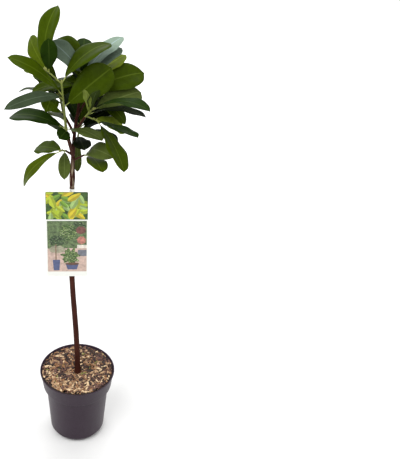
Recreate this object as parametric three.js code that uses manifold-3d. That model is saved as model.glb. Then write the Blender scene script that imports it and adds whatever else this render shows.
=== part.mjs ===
// A cherry laurel grown as a standard: a bare stem with a crown of large glossy leaves, in its nursery pot.
// Millimetres, +Z up, the origin in the middle of the pot's flat underside, the side looked at facing -Y.
// The stem, its boughs, and the twigs and leaves of each mass all come from a few sizes by the rule below.
import * as THREE from "three";
import { mergeVertices } from "three/addons/utils/BufferGeometryUtils.js";
import Module from "manifold-3d";

const wasm = await Module();
wasm.setup();
const { Manifold, Mesh: SolidMesh } = wasm;

// What lies against its neighbour keeps this gap.
const GAP = 0.3;

// The pot: a tapering body, a shoulder and a wide band up to the lip.
const POT_HEIGHT = 183;
const LIP_RADIUS = 86;
const LIP_DEPTH = 4;
const LIP_SLANT = 1.2;
const LIP_ROUNDING = 0.6;
const BAND_TOP_RADIUS = 84.3;
const BAND_FOOT_RADIUS = 79.4;
const BAND_FOOT_HEIGHT = 142;
const BODY_TOP_RADIUS = 71.8;
const BODY_TOP_HEIGHT = 135;
const BODY_FOOT_RADIUS = 63.4;
const BODY_FOOT_HEIGHT = 11;
const UNDERSIDE_RADIUS = 54;
const UNDERSIDE_CHAMFER = [5, 3];
const WALL = 1.8;
const FLOOR_CORNER = 2;
const POT_SIDES = 48;

// The filling: compost and mulch in one piece, a little lower round the stem, with loose chips on top.
const SOIL_HEIGHT = 172.5;
const MULCH_EDGE_HEIGHT = 177;
const MULCH_DISH_RADIUS = 12;
const CHIP_COUNT = 46;
const CHIP_SEED = 4127;
const CHIP_RING_INNER = 17;
const CHIP_RING_OUTER = 80;
const CHIP_HALF_SIZES = [[4, 9], [1.5, 3.5], [0.8, 1.6]];
const CHIP_END_SLANT = 0.15;
const CHIP_LIFT = 1.6;
const CHIP_TILT = 12;
const CHIP_ROLL = 25;

// The stem: its axis leans and bends, and its radius tapers between a root flare and a swollen graft.
const STEM_AXIS = [
  [0, 0, SOIL_HEIGHT],
  [0, 0, 212],
  [-3, 0, 296],
  [-11.6, 0, 459],
  [-12.2, 0, 611],
  [-10.4, 0, 710],
  [-8.5, 0, 772],
  [-4, 2, 833],
  [2, 8, 870],
  [4, 12, 893],
];
const STEM_FOOT_RADIUS = 6.4;
const STEM_TAPER = 0.002;
const TAPER_START = 611;
const STEM_TAPER_ABOVE = 0.0085;
const FLARE = 2.6;
const FLARE_HEIGHT = 9;
const GRAFT_HEIGHT = 716;
const GRAFT_SWELL = 1.5;
const GRAFT_REACH = 17;
const STEM_STEPS = 30;
const STEM_STEP_POWER = 1.15;
const STEM_SIDES = 10;

// Each bough is one tapering limb: its foot on the stem's axis, its bearing, and its radius at foot and tip.
const BOUGHS = {
  bough_left: { from: [-8.7, 0, 768], heading: 218, rise: 75, length: 62, radii: [3.9, 3.2] },
  bough_right: { from: [-4.5, 1, 822], heading: 318, rise: 58, length: 50, radii: [2.9, 2.3] },
  bough_low_left: { from: [-8.8, 0, 768], heading: 200, rise: 42, length: 20, radii: [2.4, 2.0] },
  bough_low_right: { from: [-9, 0, 756], heading: 344, rise: 36, length: 28, radii: [2.2, 1.8] },
  bough_back_left: { from: [-5.5, 1, 815], heading: 140, rise: 52, length: 46, radii: [2.8, 2.2] },
  bough_back_right: { from: [-1, 5, 852], heading: 50, rise: 42, length: 34, radii: [2.6, 2.2] },
  bough_low_back: { from: [-8.5, 0, 778], heading: 65, rise: 40, length: 28, radii: [2.4, 2.0] },
};
const BOUGH_SIDES = 8;

// Each mass grows from the tip of one limb: a stem with its bearing, and leaves set along it. A row of "set"
// is a leaf that shows in front: place on the twig, heading, rise, length, width, roll and bow. "grown" is
// how many more leaves follow the spiral rule, with the dice set to "seed".
const MASSES = {
  leaves_left: {
    limb: "bough_left",
    stem: { heading: 234, rise: 83, length: 112, radii: [2.8, 1.6] },
    set: [
      [0.03, 154, -2, 128, 50, -5, 55],
      [0.08, 124, -18, 84, 36, 65, 10],
      [0.02, 258, 14, 62, 30, -35, 40],
      [0.05, 316, 8, 96, 48, -10, 30],
      [0.22, 114, -14, 80, 34, 15, 5],
      [0.38, 124, -2, 66, 20, -75, 55],
      [0.5, 26, 32, 124, 62, 50, 64],
      [0.66, 220, 10, 148, 25, -35, 80],
      [0.72, 196, 42, 138, 44, -20, 40],
      [0.97, 36, 24, 130, 56, -5, 55],
    ],
    side: {
      at: 0.97,
      stem: { heading: 160, rise: 36, length: 36, radii: [1.5, 1.3] },
      set: [
        [0.85, 100, 92, 70, 32, 0, 30],
        [0.98, 68, 62, 124, 58, -32, 50],
        [0.93, 110, 14, 104, 36, -60, 20],
      ],
    },
  },
  leaves_top: {
    limb: "stem",
    stem: { heading: 53, rise: 77, length: 44, radii: [2.4, 1.7] },
    set: [
      [0.12, 28, 5, 146, 58, 35, 40],
      [0.45, 42, 14, 122, 44, 0, 10],
      [0.65, 40, 22, 112, 42, 6, 45],
      [0.8, 44, 25, 124, 44, -4, 35],
      [0.95, 126, 30, 96, 50, -20, 70],
      [0.95, 162, 43, 88, 44, -25, 40],
    ],
    grown: 5,
    seed: 289,
  },
  leaves_right: {
    limb: "bough_right",
    stem: { heading: 340, rise: 54, length: 22, radii: [2.2, 1.6] },
    set: [
      [0.5, 258, 62, 78, 18, -20, 10],
      [0.7, 290, 60, 74, 26, 10, 15],
      [0.8, 36, 2, 124, 54, 28, 30],
      [0.9, 328, 16, 136, 52, -10, 60],
      [0.3, 345, 6, 118, 44, -14, 50],
    ],
    side: {
      at: 0.1,
      stem: { heading: 3, rise: -26, length: 24, radii: [1.5, 1.3] },
      set: [
        [0.5, 22, -32, 84, 34, 30, 40],
        [0.85, 312, 6, 114, 42, -15, 5],
        [0.98, 294, -22, 128, 52, -30, 20],
      ],
    },
  },
  leaves_low_left: {
    limb: "bough_low_left",
    stem: { heading: 205, rise: 15, length: 8, radii: [1.9, 1.5] },
    set: [
      [0.5, 138, -18, 80, 44, -16, 15],
      [0.95, 176, -48, 122, 34, -20, 60],
      [0.3, 270, -12, 82, 24, 0, 40],
    ],
  },
  leaves_low_right: {
    limb: "bough_low_right",
    stem: { heading: 350, rise: 5, length: 10, radii: [1.7, 1.4] },
    set: [
      [0.9, 298, 26, 118, 38, 35, 80],
      [0.7, 286, 12, 102, 38, -5, 25],
    ],
  },
  leaves_low_back: {
    limb: "bough_low_back",
    stem: { heading: 75, rise: 45, length: 26, radii: [1.9, 1.4] },
    set: [
      [0.2, 278, 10, 82, 36, 0, 10],
      [0.06, 262, -84, 76, 18, 0, 10],
    ],
    grown: 8,
    seed: 127,
  },
  leaves_back_left: {
    limb: "bough_back_left",
    stem: { heading: 120, rise: 68, length: 66, radii: [2.1, 1.4] },
    set: [],
    side: {
      at: 0.3,
      stem: { heading: 150, rise: 8, length: 34, radii: [1.5, 1.3] },
      set: [],
    },
    grown: 12,
    seed: 164,
  },
  leaves_back_right: {
    limb: "bough_back_right",
    stem: { heading: 76, rise: 24, length: 50, radii: [2.1, 1.4] },
    set: [],
    side: {
      at: 0.2,
      stem: { heading: 20, rise: 2, length: 30, radii: [1.5, 1.3] },
      set: [],
    },
    grown: 12,
    seed: 134,
  },
};
const TWIG_SIDES = 6;
const TWIG_STEPS = 4;

// A leaf: a stalk, then a blade whose half width follows one curve, folded up along its midrib.
const STALK_SHARE = 0.11;
const STALK_RADIUS = 0.9;
const MIDRIB_THICKNESS = 1.6;
const MIDRIB_THINNING = 0.7;
const TIP_SIZE = 0.3;
const LEAF_FOLD = 16;
const WIDEST_POWER = 1.42;
const FULLNESS_POWER = 0.54;
const TIP_POWER = 34;
const BLADE_SHARES = [0.07, 0.2, 0.35, 0.5, 0.64, 0.77, 0.88, 0.96, 1];

// The spiral rule: two turns for five leaves, each with a seeded scatter.
const SPIRAL_STEP = 144;
const GROWN_TRIES = 30;
const TRY_STEP = 25;
const GROWN_FROM = 0.3;
const GROWN_SHORTER = 0.011;
const GROWN_RISE = [-12, 52];
const GROWN_LENGTH = 108;
const GROWN_WIDTH_SHARE = 0.4;
const GROWN_BOW = 42;
const SCATTER = { length: 14, heading: 18, rise: 20, width: 3, roll: 25, bow: 20 };

// Room: the sample points of a leaf by the rule stay this far from other leaves and from the limbs.
const ROOM_BETWEEN_LEAVES = 5.5;
const ROOM_ROUND_LIMBS = 2.5;
const ROOM_ROWS = 14;
const LIMB_ROOM_ROWS = 12;
const STEM_ROOM_ROWS = 32;
const STEM_ROOM_FROM = 0.6;
const ROOM_SIDES = [-1, -0.67, -0.33, 0, 0.33, 0.67, 1];
const CROWDED_SHARE = 0.3;
const CROWN_MIDDLE = [2, 30, 865];
const CROWN_REACH = [130, 135, 130];

// The tag: a card that hangs in front of the stem by its tab, from a collar round the stem.
const CARD_WIDTH = 87;
const CARD_HEIGHT = 219;
const CARD_THICKNESS = 1;
const CARD_CORNER = 3;
const CARD_MIDDLE_X = -21.5;
const CARD_TOP = 686.5;
const TAB_MIDDLE_X = -7.5;
const TAB_WIDTH = 6;
const TAB_HEIGHT = 4;
const COLLAR_FOOT = [-10.9, 0, 687.2];
const COLLAR_HEIGHT = 3.2;
const COLLAR_SIDES = 20;
const COLLAR_INNER = 5.15;
const COLLAR_OUTER = 6;

const COLOURS = {
  pot: ["#3a3740", 0.42],
  mulch: ["#a5794f", 0.9],
  stem: ["#5d4038", 0.75],
  bough: ["#6a4138", 0.7],
  leaf: ["#3f5a1c", 0.35],
  card: ["#e9ebe2", 0.4],
  collar: ["#dfe2da", 0.4],
};

// Numbers between 0 and 1 in a fixed order that one seed sets.
const dice = { state: 1 };
function roll() {
  dice.state = (dice.state * 48271) % 2147483647;
  return dice.state / 2147483647;
}

function scatter(size) {
  return (2 * roll() - 1) * size;
}

// The directions of a piece with a heading and a rise: along it, to its left, and out of its upper face.
function bearings({ heading, rise, roll: turned = 0 }) {
  const h = THREE.MathUtils.degToRad(heading);
  const r = THREE.MathUtils.degToRad(rise);
  const q = THREE.MathUtils.degToRad(turned);
  const along = new THREE.Vector3(Math.cos(r) * Math.cos(h), Math.cos(r) * Math.sin(h), Math.sin(r));
  const level = new THREE.Vector3(-Math.sin(h), Math.cos(h), 0);
  const upper = new THREE.Vector3().crossVectors(along, level);
  const left = level.clone().multiplyScalar(Math.cos(q)).addScaledVector(upper, Math.sin(q));
  const face = upper.multiplyScalar(Math.cos(q)).addScaledVector(level, -Math.sin(q));
  return { along, left, face };
}

// The point at a share of an arc over its chord, and the arc's own face there. A bow of 0 is straight.
function arcPoint(piece, share) {
  const { along, left, face } = bearings(piece);
  const bow = THREE.MathUtils.degToRad(piece.bow ?? 0);
  const point = new THREE.Vector3(...piece.from);
  if (bow === 0) return { point: point.addScaledVector(along, piece.length * share), left, face };
  const angle = bow * (0.5 - share);
  point.addScaledVector(along, (piece.length * (Math.sin(bow / 2) - Math.sin(angle))) / bow);
  point.addScaledVector(face, (piece.length * (Math.cos(angle) - Math.cos(bow / 2))) / bow);
  const turnedFace = face.clone().multiplyScalar(Math.cos(angle)).addScaledVector(along, -Math.sin(angle));
  return { point, left, face: turnedFace };
}

// A closed solid through rings of points that all run the same way round.
function skin(rings) {
  const count = rings[0].length;
  const positions = rings.flat().flatMap((point) => point.toArray());
  const faces = [];
  for (let ring = 0; ring < rings.length - 1; ring++) {
    for (let side = 0; side < count; side++) {
      const a = ring * count + side;
      const b = ring * count + ((side + 1) % count);
      faces.push(a, b, a + count, b, b + count, a + count);
    }
  }
  const last = (rings.length - 1) * count;
  for (let side = 1; side < count - 1; side++) {
    faces.push(0, side + 1, side);
    faces.push(last, last + side, last + side + 1);
  }
  const mesh = { numProp: 3, vertProperties: new Float32Array(positions), triVerts: new Uint32Array(faces) };
  return new Manifold(new SolidMesh(mesh));
}

// A round limb through centres with radii, its rings square to its chord.
function limbSolid(centres, radii, sides) {
  const chord = centres.at(-1).clone().sub(centres[0]).normalize();
  const guide = Math.abs(chord.z) > 0.9 ? new THREE.Vector3(1, 0, 0) : new THREE.Vector3(0, 0, 1);
  const across = guide.clone().addScaledVector(chord, -guide.dot(chord)).normalize();
  const over = new THREE.Vector3().crossVectors(chord, across);
  return skin(
    centres.map((centre, i) =>
      Array.from({ length: sides }, (_, side) => {
        const angle = (2 * Math.PI * side) / sides;
        const point = centre.clone().addScaledVector(across, radii[i] * Math.cos(angle));
        return point.addScaledVector(over, radii[i] * Math.sin(angle));
      }),
    ),
  );
}

// A straight twig or bough from its bearing, made fatter and longer all round by "extra".
function twigSolid(twig, sides, extra = 0) {
  const { along } = bearings(twig);
  const shares = Array.from({ length: TWIG_STEPS + 1 }, (_, i) => i / TWIG_STEPS);
  const centres = shares.map((share) => arcPoint(twig, share).point);
  centres[0].addScaledVector(along, -extra);
  centres.at(-1).addScaledVector(along, extra);
  const [foot, tip] = twig.radii;
  return limbSolid(centres, shares.map((share) => foot + (tip - foot) * share + extra), sides);
}

const stemCurve = new THREE.CatmullRomCurve3(STEM_AXIS.map((p) => new THREE.Vector3(...p)));

// The stem's radius at a height: a taper, the flare at the soil and the swollen graft.
function stemRadius(height) {
  const taper = STEM_TAPER * (height - SOIL_HEIGHT) + STEM_TAPER_ABOVE * Math.max(0, height - TAPER_START);
  const flare = FLARE * Math.exp((SOIL_HEIGHT - height) / FLARE_HEIGHT);
  const graft = GRAFT_SWELL * Math.exp(-(((height - GRAFT_HEIGHT) / GRAFT_REACH) ** 2));
  return STEM_FOOT_RADIUS - taper + flare + graft;
}

// The whole stem with level rings, so that its foot is a flat cut on the soil.
function stemSolid(extra = 0) {
  const rings = [];
  for (let step = 0; step <= STEM_STEPS; step++) {
    const centre = stemCurve.getPoint((step / STEM_STEPS) ** STEM_STEP_POWER);
    const radius = stemRadius(centre.z) + extra;
    if (step === 0) centre.z += GAP - extra;
    if (step === STEM_STEPS) centre.z += extra;
    const ring = Array.from({ length: STEM_SIDES }, (_, side) => {
      const angle = (2 * Math.PI * side) / STEM_SIDES;
      return new THREE.Vector3(
        centre.x + radius * Math.cos(angle),
        centre.y + radius * Math.sin(angle),
        centre.z,
      );
    });
    rings.push(ring);
  }
  return skin(rings);
}

// Half the blade's width at a share of the blade: widest past its middle, with a short blunt point.
function bladeHalfWidth(share, width) {
  const round = Math.sin(Math.PI * share ** WIDEST_POWER) ** FULLNESS_POWER;
  return (width / 2) * round * (1 - share ** TIP_POWER) + STALK_RADIUS * (1 - share);
}

// A point of the leaf's surface: share of its length, and side from -1 at one edge to 1 at the other.
function leafPoint(leaf, share, side) {
  const { point, left, face } = arcPoint(leaf, share);
  const blade = Math.max(0, (share - STALK_SHARE) / (1 - STALK_SHARE));
  const bladeHalf = Math.max(bladeHalfWidth(Math.min(blade, 1), leaf.width), TIP_SIZE);
  const half = blade > 0 ? bladeHalf : STALK_RADIUS;
  const fold = THREE.MathUtils.degToRad(blade > 0 ? LEAF_FOLD : 0);
  point.addScaledVector(left, side * half * Math.cos(fold));
  return { point: point.addScaledVector(face, Math.abs(side) * half * Math.sin(fold)), face };
}

// The leaf's solid: a stalk rooted in the twig's middle, and a blade of lens-like sections.
function leafSolid(leaf) {
  const shares = [0, STALK_SHARE, ...BLADE_SHARES.map((s) => STALK_SHARE + (1 - STALK_SHARE) * s)];
  const rings = shares.map((share) => {
    const bladeThickness = MIDRIB_THICKNESS * (1 - MIDRIB_THINNING * share ** 3);
    const thickness = share <= STALK_SHARE ? 2 * STALK_RADIUS : bladeThickness;
    const { point: rib, face } = leafPoint(leaf, share, 0);
    return [
      leafPoint(leaf, share, 1).point,
      rib.clone().addScaledVector(face, thickness / 2),
      leafPoint(leaf, share, -1).point,
      rib.clone().addScaledVector(face, -thickness / 2),
    ];
  });
  return skin(rings);
}

// The points by which a leaf's room is tested, each with its share of the leaf's length.
function roomPoints(leaf, mass) {
  const shares = Array.from({ length: ROOM_ROWS }, (_, i) => (i + 1) / ROOM_ROWS);
  return shares.flatMap((share) =>
    ROOM_SIDES.map((side) => ({ point: leafPoint(leaf, share, side).point, share, mass })),
  );
}

// The places along a limb or twig that leaves keep clear of, with its radius and the mass it belongs to.
function limbRoom(limb, mass) {
  const [foot, tip] = limb.radii;
  return Array.from({ length: LIMB_ROOM_ROWS + 1 }, (_, i) => ({
    point: arcPoint(limb, i / LIMB_ROOM_ROWS).point,
    radius: foot + ((tip - foot) * i) / LIMB_ROOM_ROWS,
    mass,
  }));
}

// Whether a leaf by the rule stays in the crown, and clear of the limbs and of the leaves already there.
// Leaves of one mass may crowd at their feet.
function hasRoom(points, taken, limbs) {
  const inCrown = points.every(({ point }) => {
    const away = point.toArray().map((value, axis) => (value - CROWN_MIDDLE[axis]) / CROWN_REACH[axis]);
    return Math.hypot(...away) < 1;
  });
  if (!inCrown) return false;
  const crowded = (p, q) => p.mass === q.mass && Math.min(p.share, q.share ?? 0) < CROWDED_SHARE;
  const meets = (p, q, room) => p.point.distanceTo(q.point) < room && !crowded(p, q);
  if (points.some((p) => limbs.some((q) => meets(p, q, q.radius + ROOM_ROUND_LIMBS)))) return false;
  return !points.some((p) => taken.some((q) => meets(p, q, ROOM_BETWEEN_LEAVES)));
}

// A row of "set" as a leaf on its twig.
function setLeaf(twig, [at, heading, rise, length, width, turned, bow]) {
  return { from: arcPoint(twig, at).point.toArray(), heading, rise, length, width, roll: turned, bow };
}

// The leaf that the spiral rule puts at a share of a twig. Each further attempt turns on and is shorter.
function grownLeaf(twig, share, start, number, attempt) {
  const at = GROWN_FROM + (1 - GROWN_FROM) * share;
  const [low, high] = GROWN_RISE;
  const length = (GROWN_LENGTH + scatter(SCATTER.length)) * (1 - GROWN_SHORTER * attempt);
  return {
    from: arcPoint(twig, at).point.toArray(),
    heading: start + SPIRAL_STEP * number + TRY_STEP * attempt + scatter(SCATTER.heading),
    rise: low + (high - low) * share + scatter(SCATTER.rise),
    length,
    width: length * GROWN_WIDTH_SHARE + scatter(SCATTER.width),
    roll: scatter(SCATTER.roll),
    bow: GROWN_BOW + scatter(SCATTER.bow),
  };
}

// The twigs of a mass: its stem from the limb's tip, and a side twig if it has one.
function twigsOf(mass, tips) {
  const stem = { ...mass.stem, from: tips[mass.limb] };
  const twigs = [{ twig: stem, set: mass.set }];
  if (mass.side) {
    const side = { ...mass.side.stem, from: arcPoint(stem, mass.side.at).point.toArray() };
    twigs.push({ twig: side, set: mass.side.set });
  }
  return twigs;
}

// Every mass's twigs and leaves: first the set leaves of all, then the grown ones where there is room.
function growCrown(tips, limbs) {
  const crown = Object.entries(MASSES).map(([name, mass]) => {
    const twigs = twigsOf(mass, tips);
    const leaves = twigs.flatMap(({ twig, set }) => set.map((row) => setLeaf(twig, row)));
    return { name, mass, twigs: twigs.map(({ twig }) => twig), leaves };
  });
  const taken = crown.flatMap(({ name, leaves }) => leaves.flatMap((leaf) => roomPoints(leaf, name)));
  const twigRoom = crown.flatMap(({ name, twigs }) => twigs.flatMap((twig) => limbRoom(twig, name)));
  const hard = [...limbs, ...twigRoom];
  for (const { name, mass, twigs, leaves } of crown.filter(({ mass }) => mass.grown)) {
    dice.state = mass.seed;
    const turn = 360 * roll();
    for (let number = 0; number < mass.grown; number++) {
      for (let attempt = 0; attempt < GROWN_TRIES; attempt++) {
        const leaf = grownLeaf(twigs[number % twigs.length], number / mass.grown, turn, number, attempt);
        const points = roomPoints(leaf, name);
        if (!hasRoom(points, taken, hard)) continue;
        leaves.push(leaf);
        taken.push(...points);
        break;
      }
    }
  }
  return crown;
}

function largest(solid) {
  return solid.decompose().sort((a, b) => b.volume() - a.volume())[0];
}

function named(name, geometry, [colour, roughness]) {
  geometry.computeVertexNormals();
  const mesh = new THREE.Mesh(geometry, new THREE.MeshStandardMaterial({ color: colour, roughness }));
  mesh.name = name;
  return mesh;
}

// A solid back as a geometry that three.js can draw.
function geometryOf(solid) {
  const { numProp, vertProperties, triVerts } = solid.getMesh();
  const positions = new Float32Array((vertProperties.length / numProp) * 3);
  for (let i = 0; i < positions.length / 3; i++) {
    positions.set(vertProperties.subarray(i * numProp, i * numProp + 3), i * 3);
  }
  const geometry = new THREE.BufferGeometry();
  geometry.setAttribute("position", new THREE.BufferAttribute(positions, 3));
  geometry.setIndex(new THREE.BufferAttribute(triVerts, 1));
  return geometry;
}

// A closed three.js geometry as a solid.
function solidOf(geometry) {
  geometry.deleteAttribute("normal");
  geometry.deleteAttribute("uv");
  const merged = mergeVertices(geometry, 1e-4);
  const mesh = {
    numProp: 3,
    vertProperties: new Float32Array(merged.attributes.position.array),
    triVerts: new Uint32Array(merged.index.array),
  };
  return new Manifold(new SolidMesh(mesh));
}

// A turned shape about +Z from a profile of radius and height pairs.
function turned(profile, sides = POT_SIDES) {
  const geometry = new THREE.LatheGeometry(profile.map(([r, z]) => new THREE.Vector2(r, z)), sides);
  geometry.rotateX(Math.PI / 2);
  return geometry;
}

// The radius of the band at a height, on the straight line from its foot to its top under the lip.
function bandRadius(height) {
  const slope = (BAND_TOP_RADIUS - BAND_FOOT_RADIUS) / (POT_HEIGHT - LIP_DEPTH - BAND_FOOT_HEIGHT);
  return BAND_FOOT_RADIUS + slope * (height - BAND_FOOT_HEIGHT);
}

// The outer wall's profile from the underside up, as it is or drawn in by a wall's thickness.
function wallProfile(inset) {
  return [
    [UNDERSIDE_RADIUS + FLOOR_CORNER - inset, inset],
    [BODY_FOOT_RADIUS - inset, BODY_FOOT_HEIGHT],
    [BODY_TOP_RADIUS - inset, BODY_TOP_HEIGHT],
    [BAND_FOOT_RADIUS - inset, BAND_FOOT_HEIGHT],
  ];
}

function pot() {
  const [chamferOut, chamferUp] = UNDERSIDE_CHAMFER;
  const profile = [
    [0, 0],
    [UNDERSIDE_RADIUS, 0],
    [UNDERSIDE_RADIUS + chamferOut, chamferUp],
    ...wallProfile(0).slice(1),
    [BAND_TOP_RADIUS, POT_HEIGHT - LIP_DEPTH],
    [LIP_RADIUS, POT_HEIGHT - LIP_DEPTH + LIP_SLANT],
    [LIP_RADIUS, POT_HEIGHT - LIP_ROUNDING],
    [LIP_RADIUS - LIP_ROUNDING, POT_HEIGHT],
    [LIP_RADIUS - WALL, POT_HEIGHT],
    [BAND_TOP_RADIUS - WALL, POT_HEIGHT - LIP_DEPTH],
    ...wallProfile(WALL).reverse(),
    [0, WALL],
  ];
  return named("pot", turned(profile), COLOURS.pot);
}

// How far the mulch reaches at its top, and its height there: level round the stem, then rising to the wall.
function mulchReach() {
  return bandRadius(MULCH_EDGE_HEIGHT) - WALL - GAP;
}

function mulchHeight(reach) {
  const share = Math.max(0, reach - MULCH_DISH_RADIUS) / (mulchReach() - MULCH_DISH_RADIUS);
  return SOIL_HEIGHT + (MULCH_EDGE_HEIGHT - SOIL_HEIGHT) * share;
}

// One chip of bark: a flat piece with slanting ends, lying on the compost.
function chip() {
  const half = CHIP_HALF_SIZES.map(([low, high]) => low + (high - low) * roll());
  const outer = CHIP_RING_OUTER - half[0] - half[1];
  const reach = CHIP_RING_INNER + (outer - CHIP_RING_INNER) * Math.sqrt(roll());
  const around = 2 * Math.PI * roll();
  const piece = {
    from: [reach * Math.cos(around), reach * Math.sin(around), mulchHeight(reach) + CHIP_LIFT * roll()],
    heading: 360 * roll(),
    rise: scatter(CHIP_TILT),
    roll: scatter(CHIP_ROLL),
  };
  const { along, left, face } = bearings(piece);
  const ring = (end) =>
    [[1, 1], [-1, 1], [-1, -1], [1, -1]].map(([side, level]) =>
      new THREE.Vector3(...piece.from)
        .addScaledVector(along, end * half[0] * (1 - CHIP_END_SLANT * level))
        .addScaledVector(left, side * half[1])
        .addScaledVector(face, level * half[2]),
    );
  return skin([ring(-1), ring(1)]);
}

function mulch() {
  const clear = WALL + GAP;
  const filling = turned([
    [0, clear],
    ...wallProfile(clear),
    [mulchReach(), MULCH_EDGE_HEIGHT],
    [MULCH_DISH_RADIUS, SOIL_HEIGHT],
    [0, SOIL_HEIGHT],
  ]);
  let solid = solidOf(filling);
  dice.state = CHIP_SEED;
  for (let i = 0; i < CHIP_COUNT; i++) solid = solid.add(chip());
  return named("mulch", geometryOf(largest(solid)), COLOURS.mulch);
}

function card() {
  const x = CARD_WIDTH / 2;
  const y = CARD_HEIGHT / 2;
  const tab = TAB_MIDDLE_X - CARD_MIDDLE_X;
  const outline = new THREE.Shape();
  outline.moveTo(-x + CARD_CORNER, -y);
  outline.absarc(x - CARD_CORNER, -y + CARD_CORNER, CARD_CORNER, -Math.PI / 2, 0);
  outline.absarc(x - CARD_CORNER, y - CARD_CORNER, CARD_CORNER, 0, Math.PI / 2);
  outline.lineTo(tab + TAB_WIDTH / 2, y);
  outline.lineTo(tab + TAB_WIDTH / 2, y + TAB_HEIGHT);
  outline.lineTo(tab - TAB_WIDTH / 2, y + TAB_HEIGHT);
  outline.lineTo(tab - TAB_WIDTH / 2, y);
  outline.absarc(-x + CARD_CORNER, y - CARD_CORNER, CARD_CORNER, Math.PI / 2, Math.PI);
  outline.absarc(-x + CARD_CORNER, -y + CARD_CORNER, CARD_CORNER, Math.PI, 1.5 * Math.PI);
  const options = { depth: CARD_THICKNESS, bevelEnabled: false, curveSegments: 3 };
  const geometry = new THREE.ExtrudeGeometry(outline, options);
  geometry.rotateX(Math.PI / 2);
  const mesh = named("tag_card", geometry, COLOURS.card);
  mesh.position.set(CARD_MIDDLE_X, -COLLAR_OUTER - GAP, CARD_TOP - y);
  return mesh;
}

function collar() {
  const profile = [
    [COLLAR_INNER, 0],
    [COLLAR_OUTER, 0],
    [COLLAR_OUTER, COLLAR_HEIGHT],
    [COLLAR_INNER, COLLAR_HEIGHT],
    [COLLAR_INNER, 0],
  ];
  const mesh = named("tag_collar", turned(profile, COLLAR_SIDES), COLOURS.collar);
  mesh.position.set(...COLLAR_FOOT);
  return mesh;
}

// The boughs in order, each cut clear of the stem and of those before it.
function boughs() {
  const made = [];
  const clear = [stemSolid(GAP)];
  for (const [name, bough] of Object.entries(BOUGHS)) {
    const solid = clear.reduce((rest, limb) => rest.subtract(limb), twigSolid(bough, BOUGH_SIDES));
    made.push(named(name, geometryOf(largest(solid)), COLOURS.bough));
    clear.push(twigSolid(bough, BOUGH_SIDES, GAP));
  }
  return { made, clear };
}

// Each mass is one solid: twigs and leaves fused, and cut clear of every limb.
function foliage(clear) {
  const tips = { stem: STEM_AXIS.at(-1) };
  for (const [name, bough] of Object.entries(BOUGHS)) tips[name] = arcPoint(bough, 1).point.toArray();
  const stemRoom = Array.from({ length: STEM_ROOM_ROWS + 1 }, (_, i) => {
    const point = stemCurve.getPoint(STEM_ROOM_FROM + ((1 - STEM_ROOM_FROM) * i) / STEM_ROOM_ROWS);
    return { point, radius: stemRadius(point.z) };
  });
  const limbs = [...stemRoom, ...Object.values(BOUGHS).flatMap((bough) => limbRoom(bough))];
  return growCrown(tips, limbs).map(({ name, twigs, leaves }) => {
    const pieces = [...twigs.map((twig) => twigSolid(twig, TWIG_SIDES)), ...leaves.map(leafSolid)];
    const fused = pieces.reduce((whole, piece) => whole.add(piece));
    const solid = clear.reduce((rest, limb) => rest.subtract(limb), fused);
    return named(name, geometryOf(largest(solid)), COLOURS.leaf);
  });
}

const plant = new THREE.Group();
const { made, clear } = boughs();
plant.add(pot(), mulch(), named("stem", geometryOf(stemSolid()), COLOURS.stem));
plant.add(...made);
plant.add(...foliage(clear));
plant.add(card(), collar());

export default plant;
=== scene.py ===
import math

import bpy
import numpy as np
from mathutils import Matrix, Vector


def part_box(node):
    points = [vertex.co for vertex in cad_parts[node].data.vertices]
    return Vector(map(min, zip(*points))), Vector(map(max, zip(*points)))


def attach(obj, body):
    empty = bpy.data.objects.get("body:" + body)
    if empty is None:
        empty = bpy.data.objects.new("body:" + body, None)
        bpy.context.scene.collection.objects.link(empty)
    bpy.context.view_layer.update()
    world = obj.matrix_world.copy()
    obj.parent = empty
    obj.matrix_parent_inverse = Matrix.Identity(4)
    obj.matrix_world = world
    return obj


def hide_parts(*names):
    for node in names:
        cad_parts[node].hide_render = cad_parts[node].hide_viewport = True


# %% [markdown]
# A young cherry laurel, grown as a standard and standing in its nursery pot.
# Everything here is built around a fixed frame of plain solids, so the first step loads that frame and
# keeps its mesh parts, set in their world places. The sizes below are in millimetres, as a gardener would
# measure them, and MM turns them into the metres of the scene when a mesh is made.

# %% Load the frame
MM = 0.001
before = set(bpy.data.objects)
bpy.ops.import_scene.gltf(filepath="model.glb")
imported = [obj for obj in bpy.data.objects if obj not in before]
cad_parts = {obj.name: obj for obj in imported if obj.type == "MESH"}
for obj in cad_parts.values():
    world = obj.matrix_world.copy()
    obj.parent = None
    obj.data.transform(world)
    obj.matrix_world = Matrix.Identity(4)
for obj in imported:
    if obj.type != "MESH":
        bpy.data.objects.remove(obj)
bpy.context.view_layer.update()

# %% [markdown]
# One helper puts arrays of points and faces into a mesh. Handing whole arrays to foreach_set is much faster
# than adding vertices one by one, and every piece below is worked out as arrays anyway.
# Faces come as a list of index arrays, one array for each number of corners.


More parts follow.
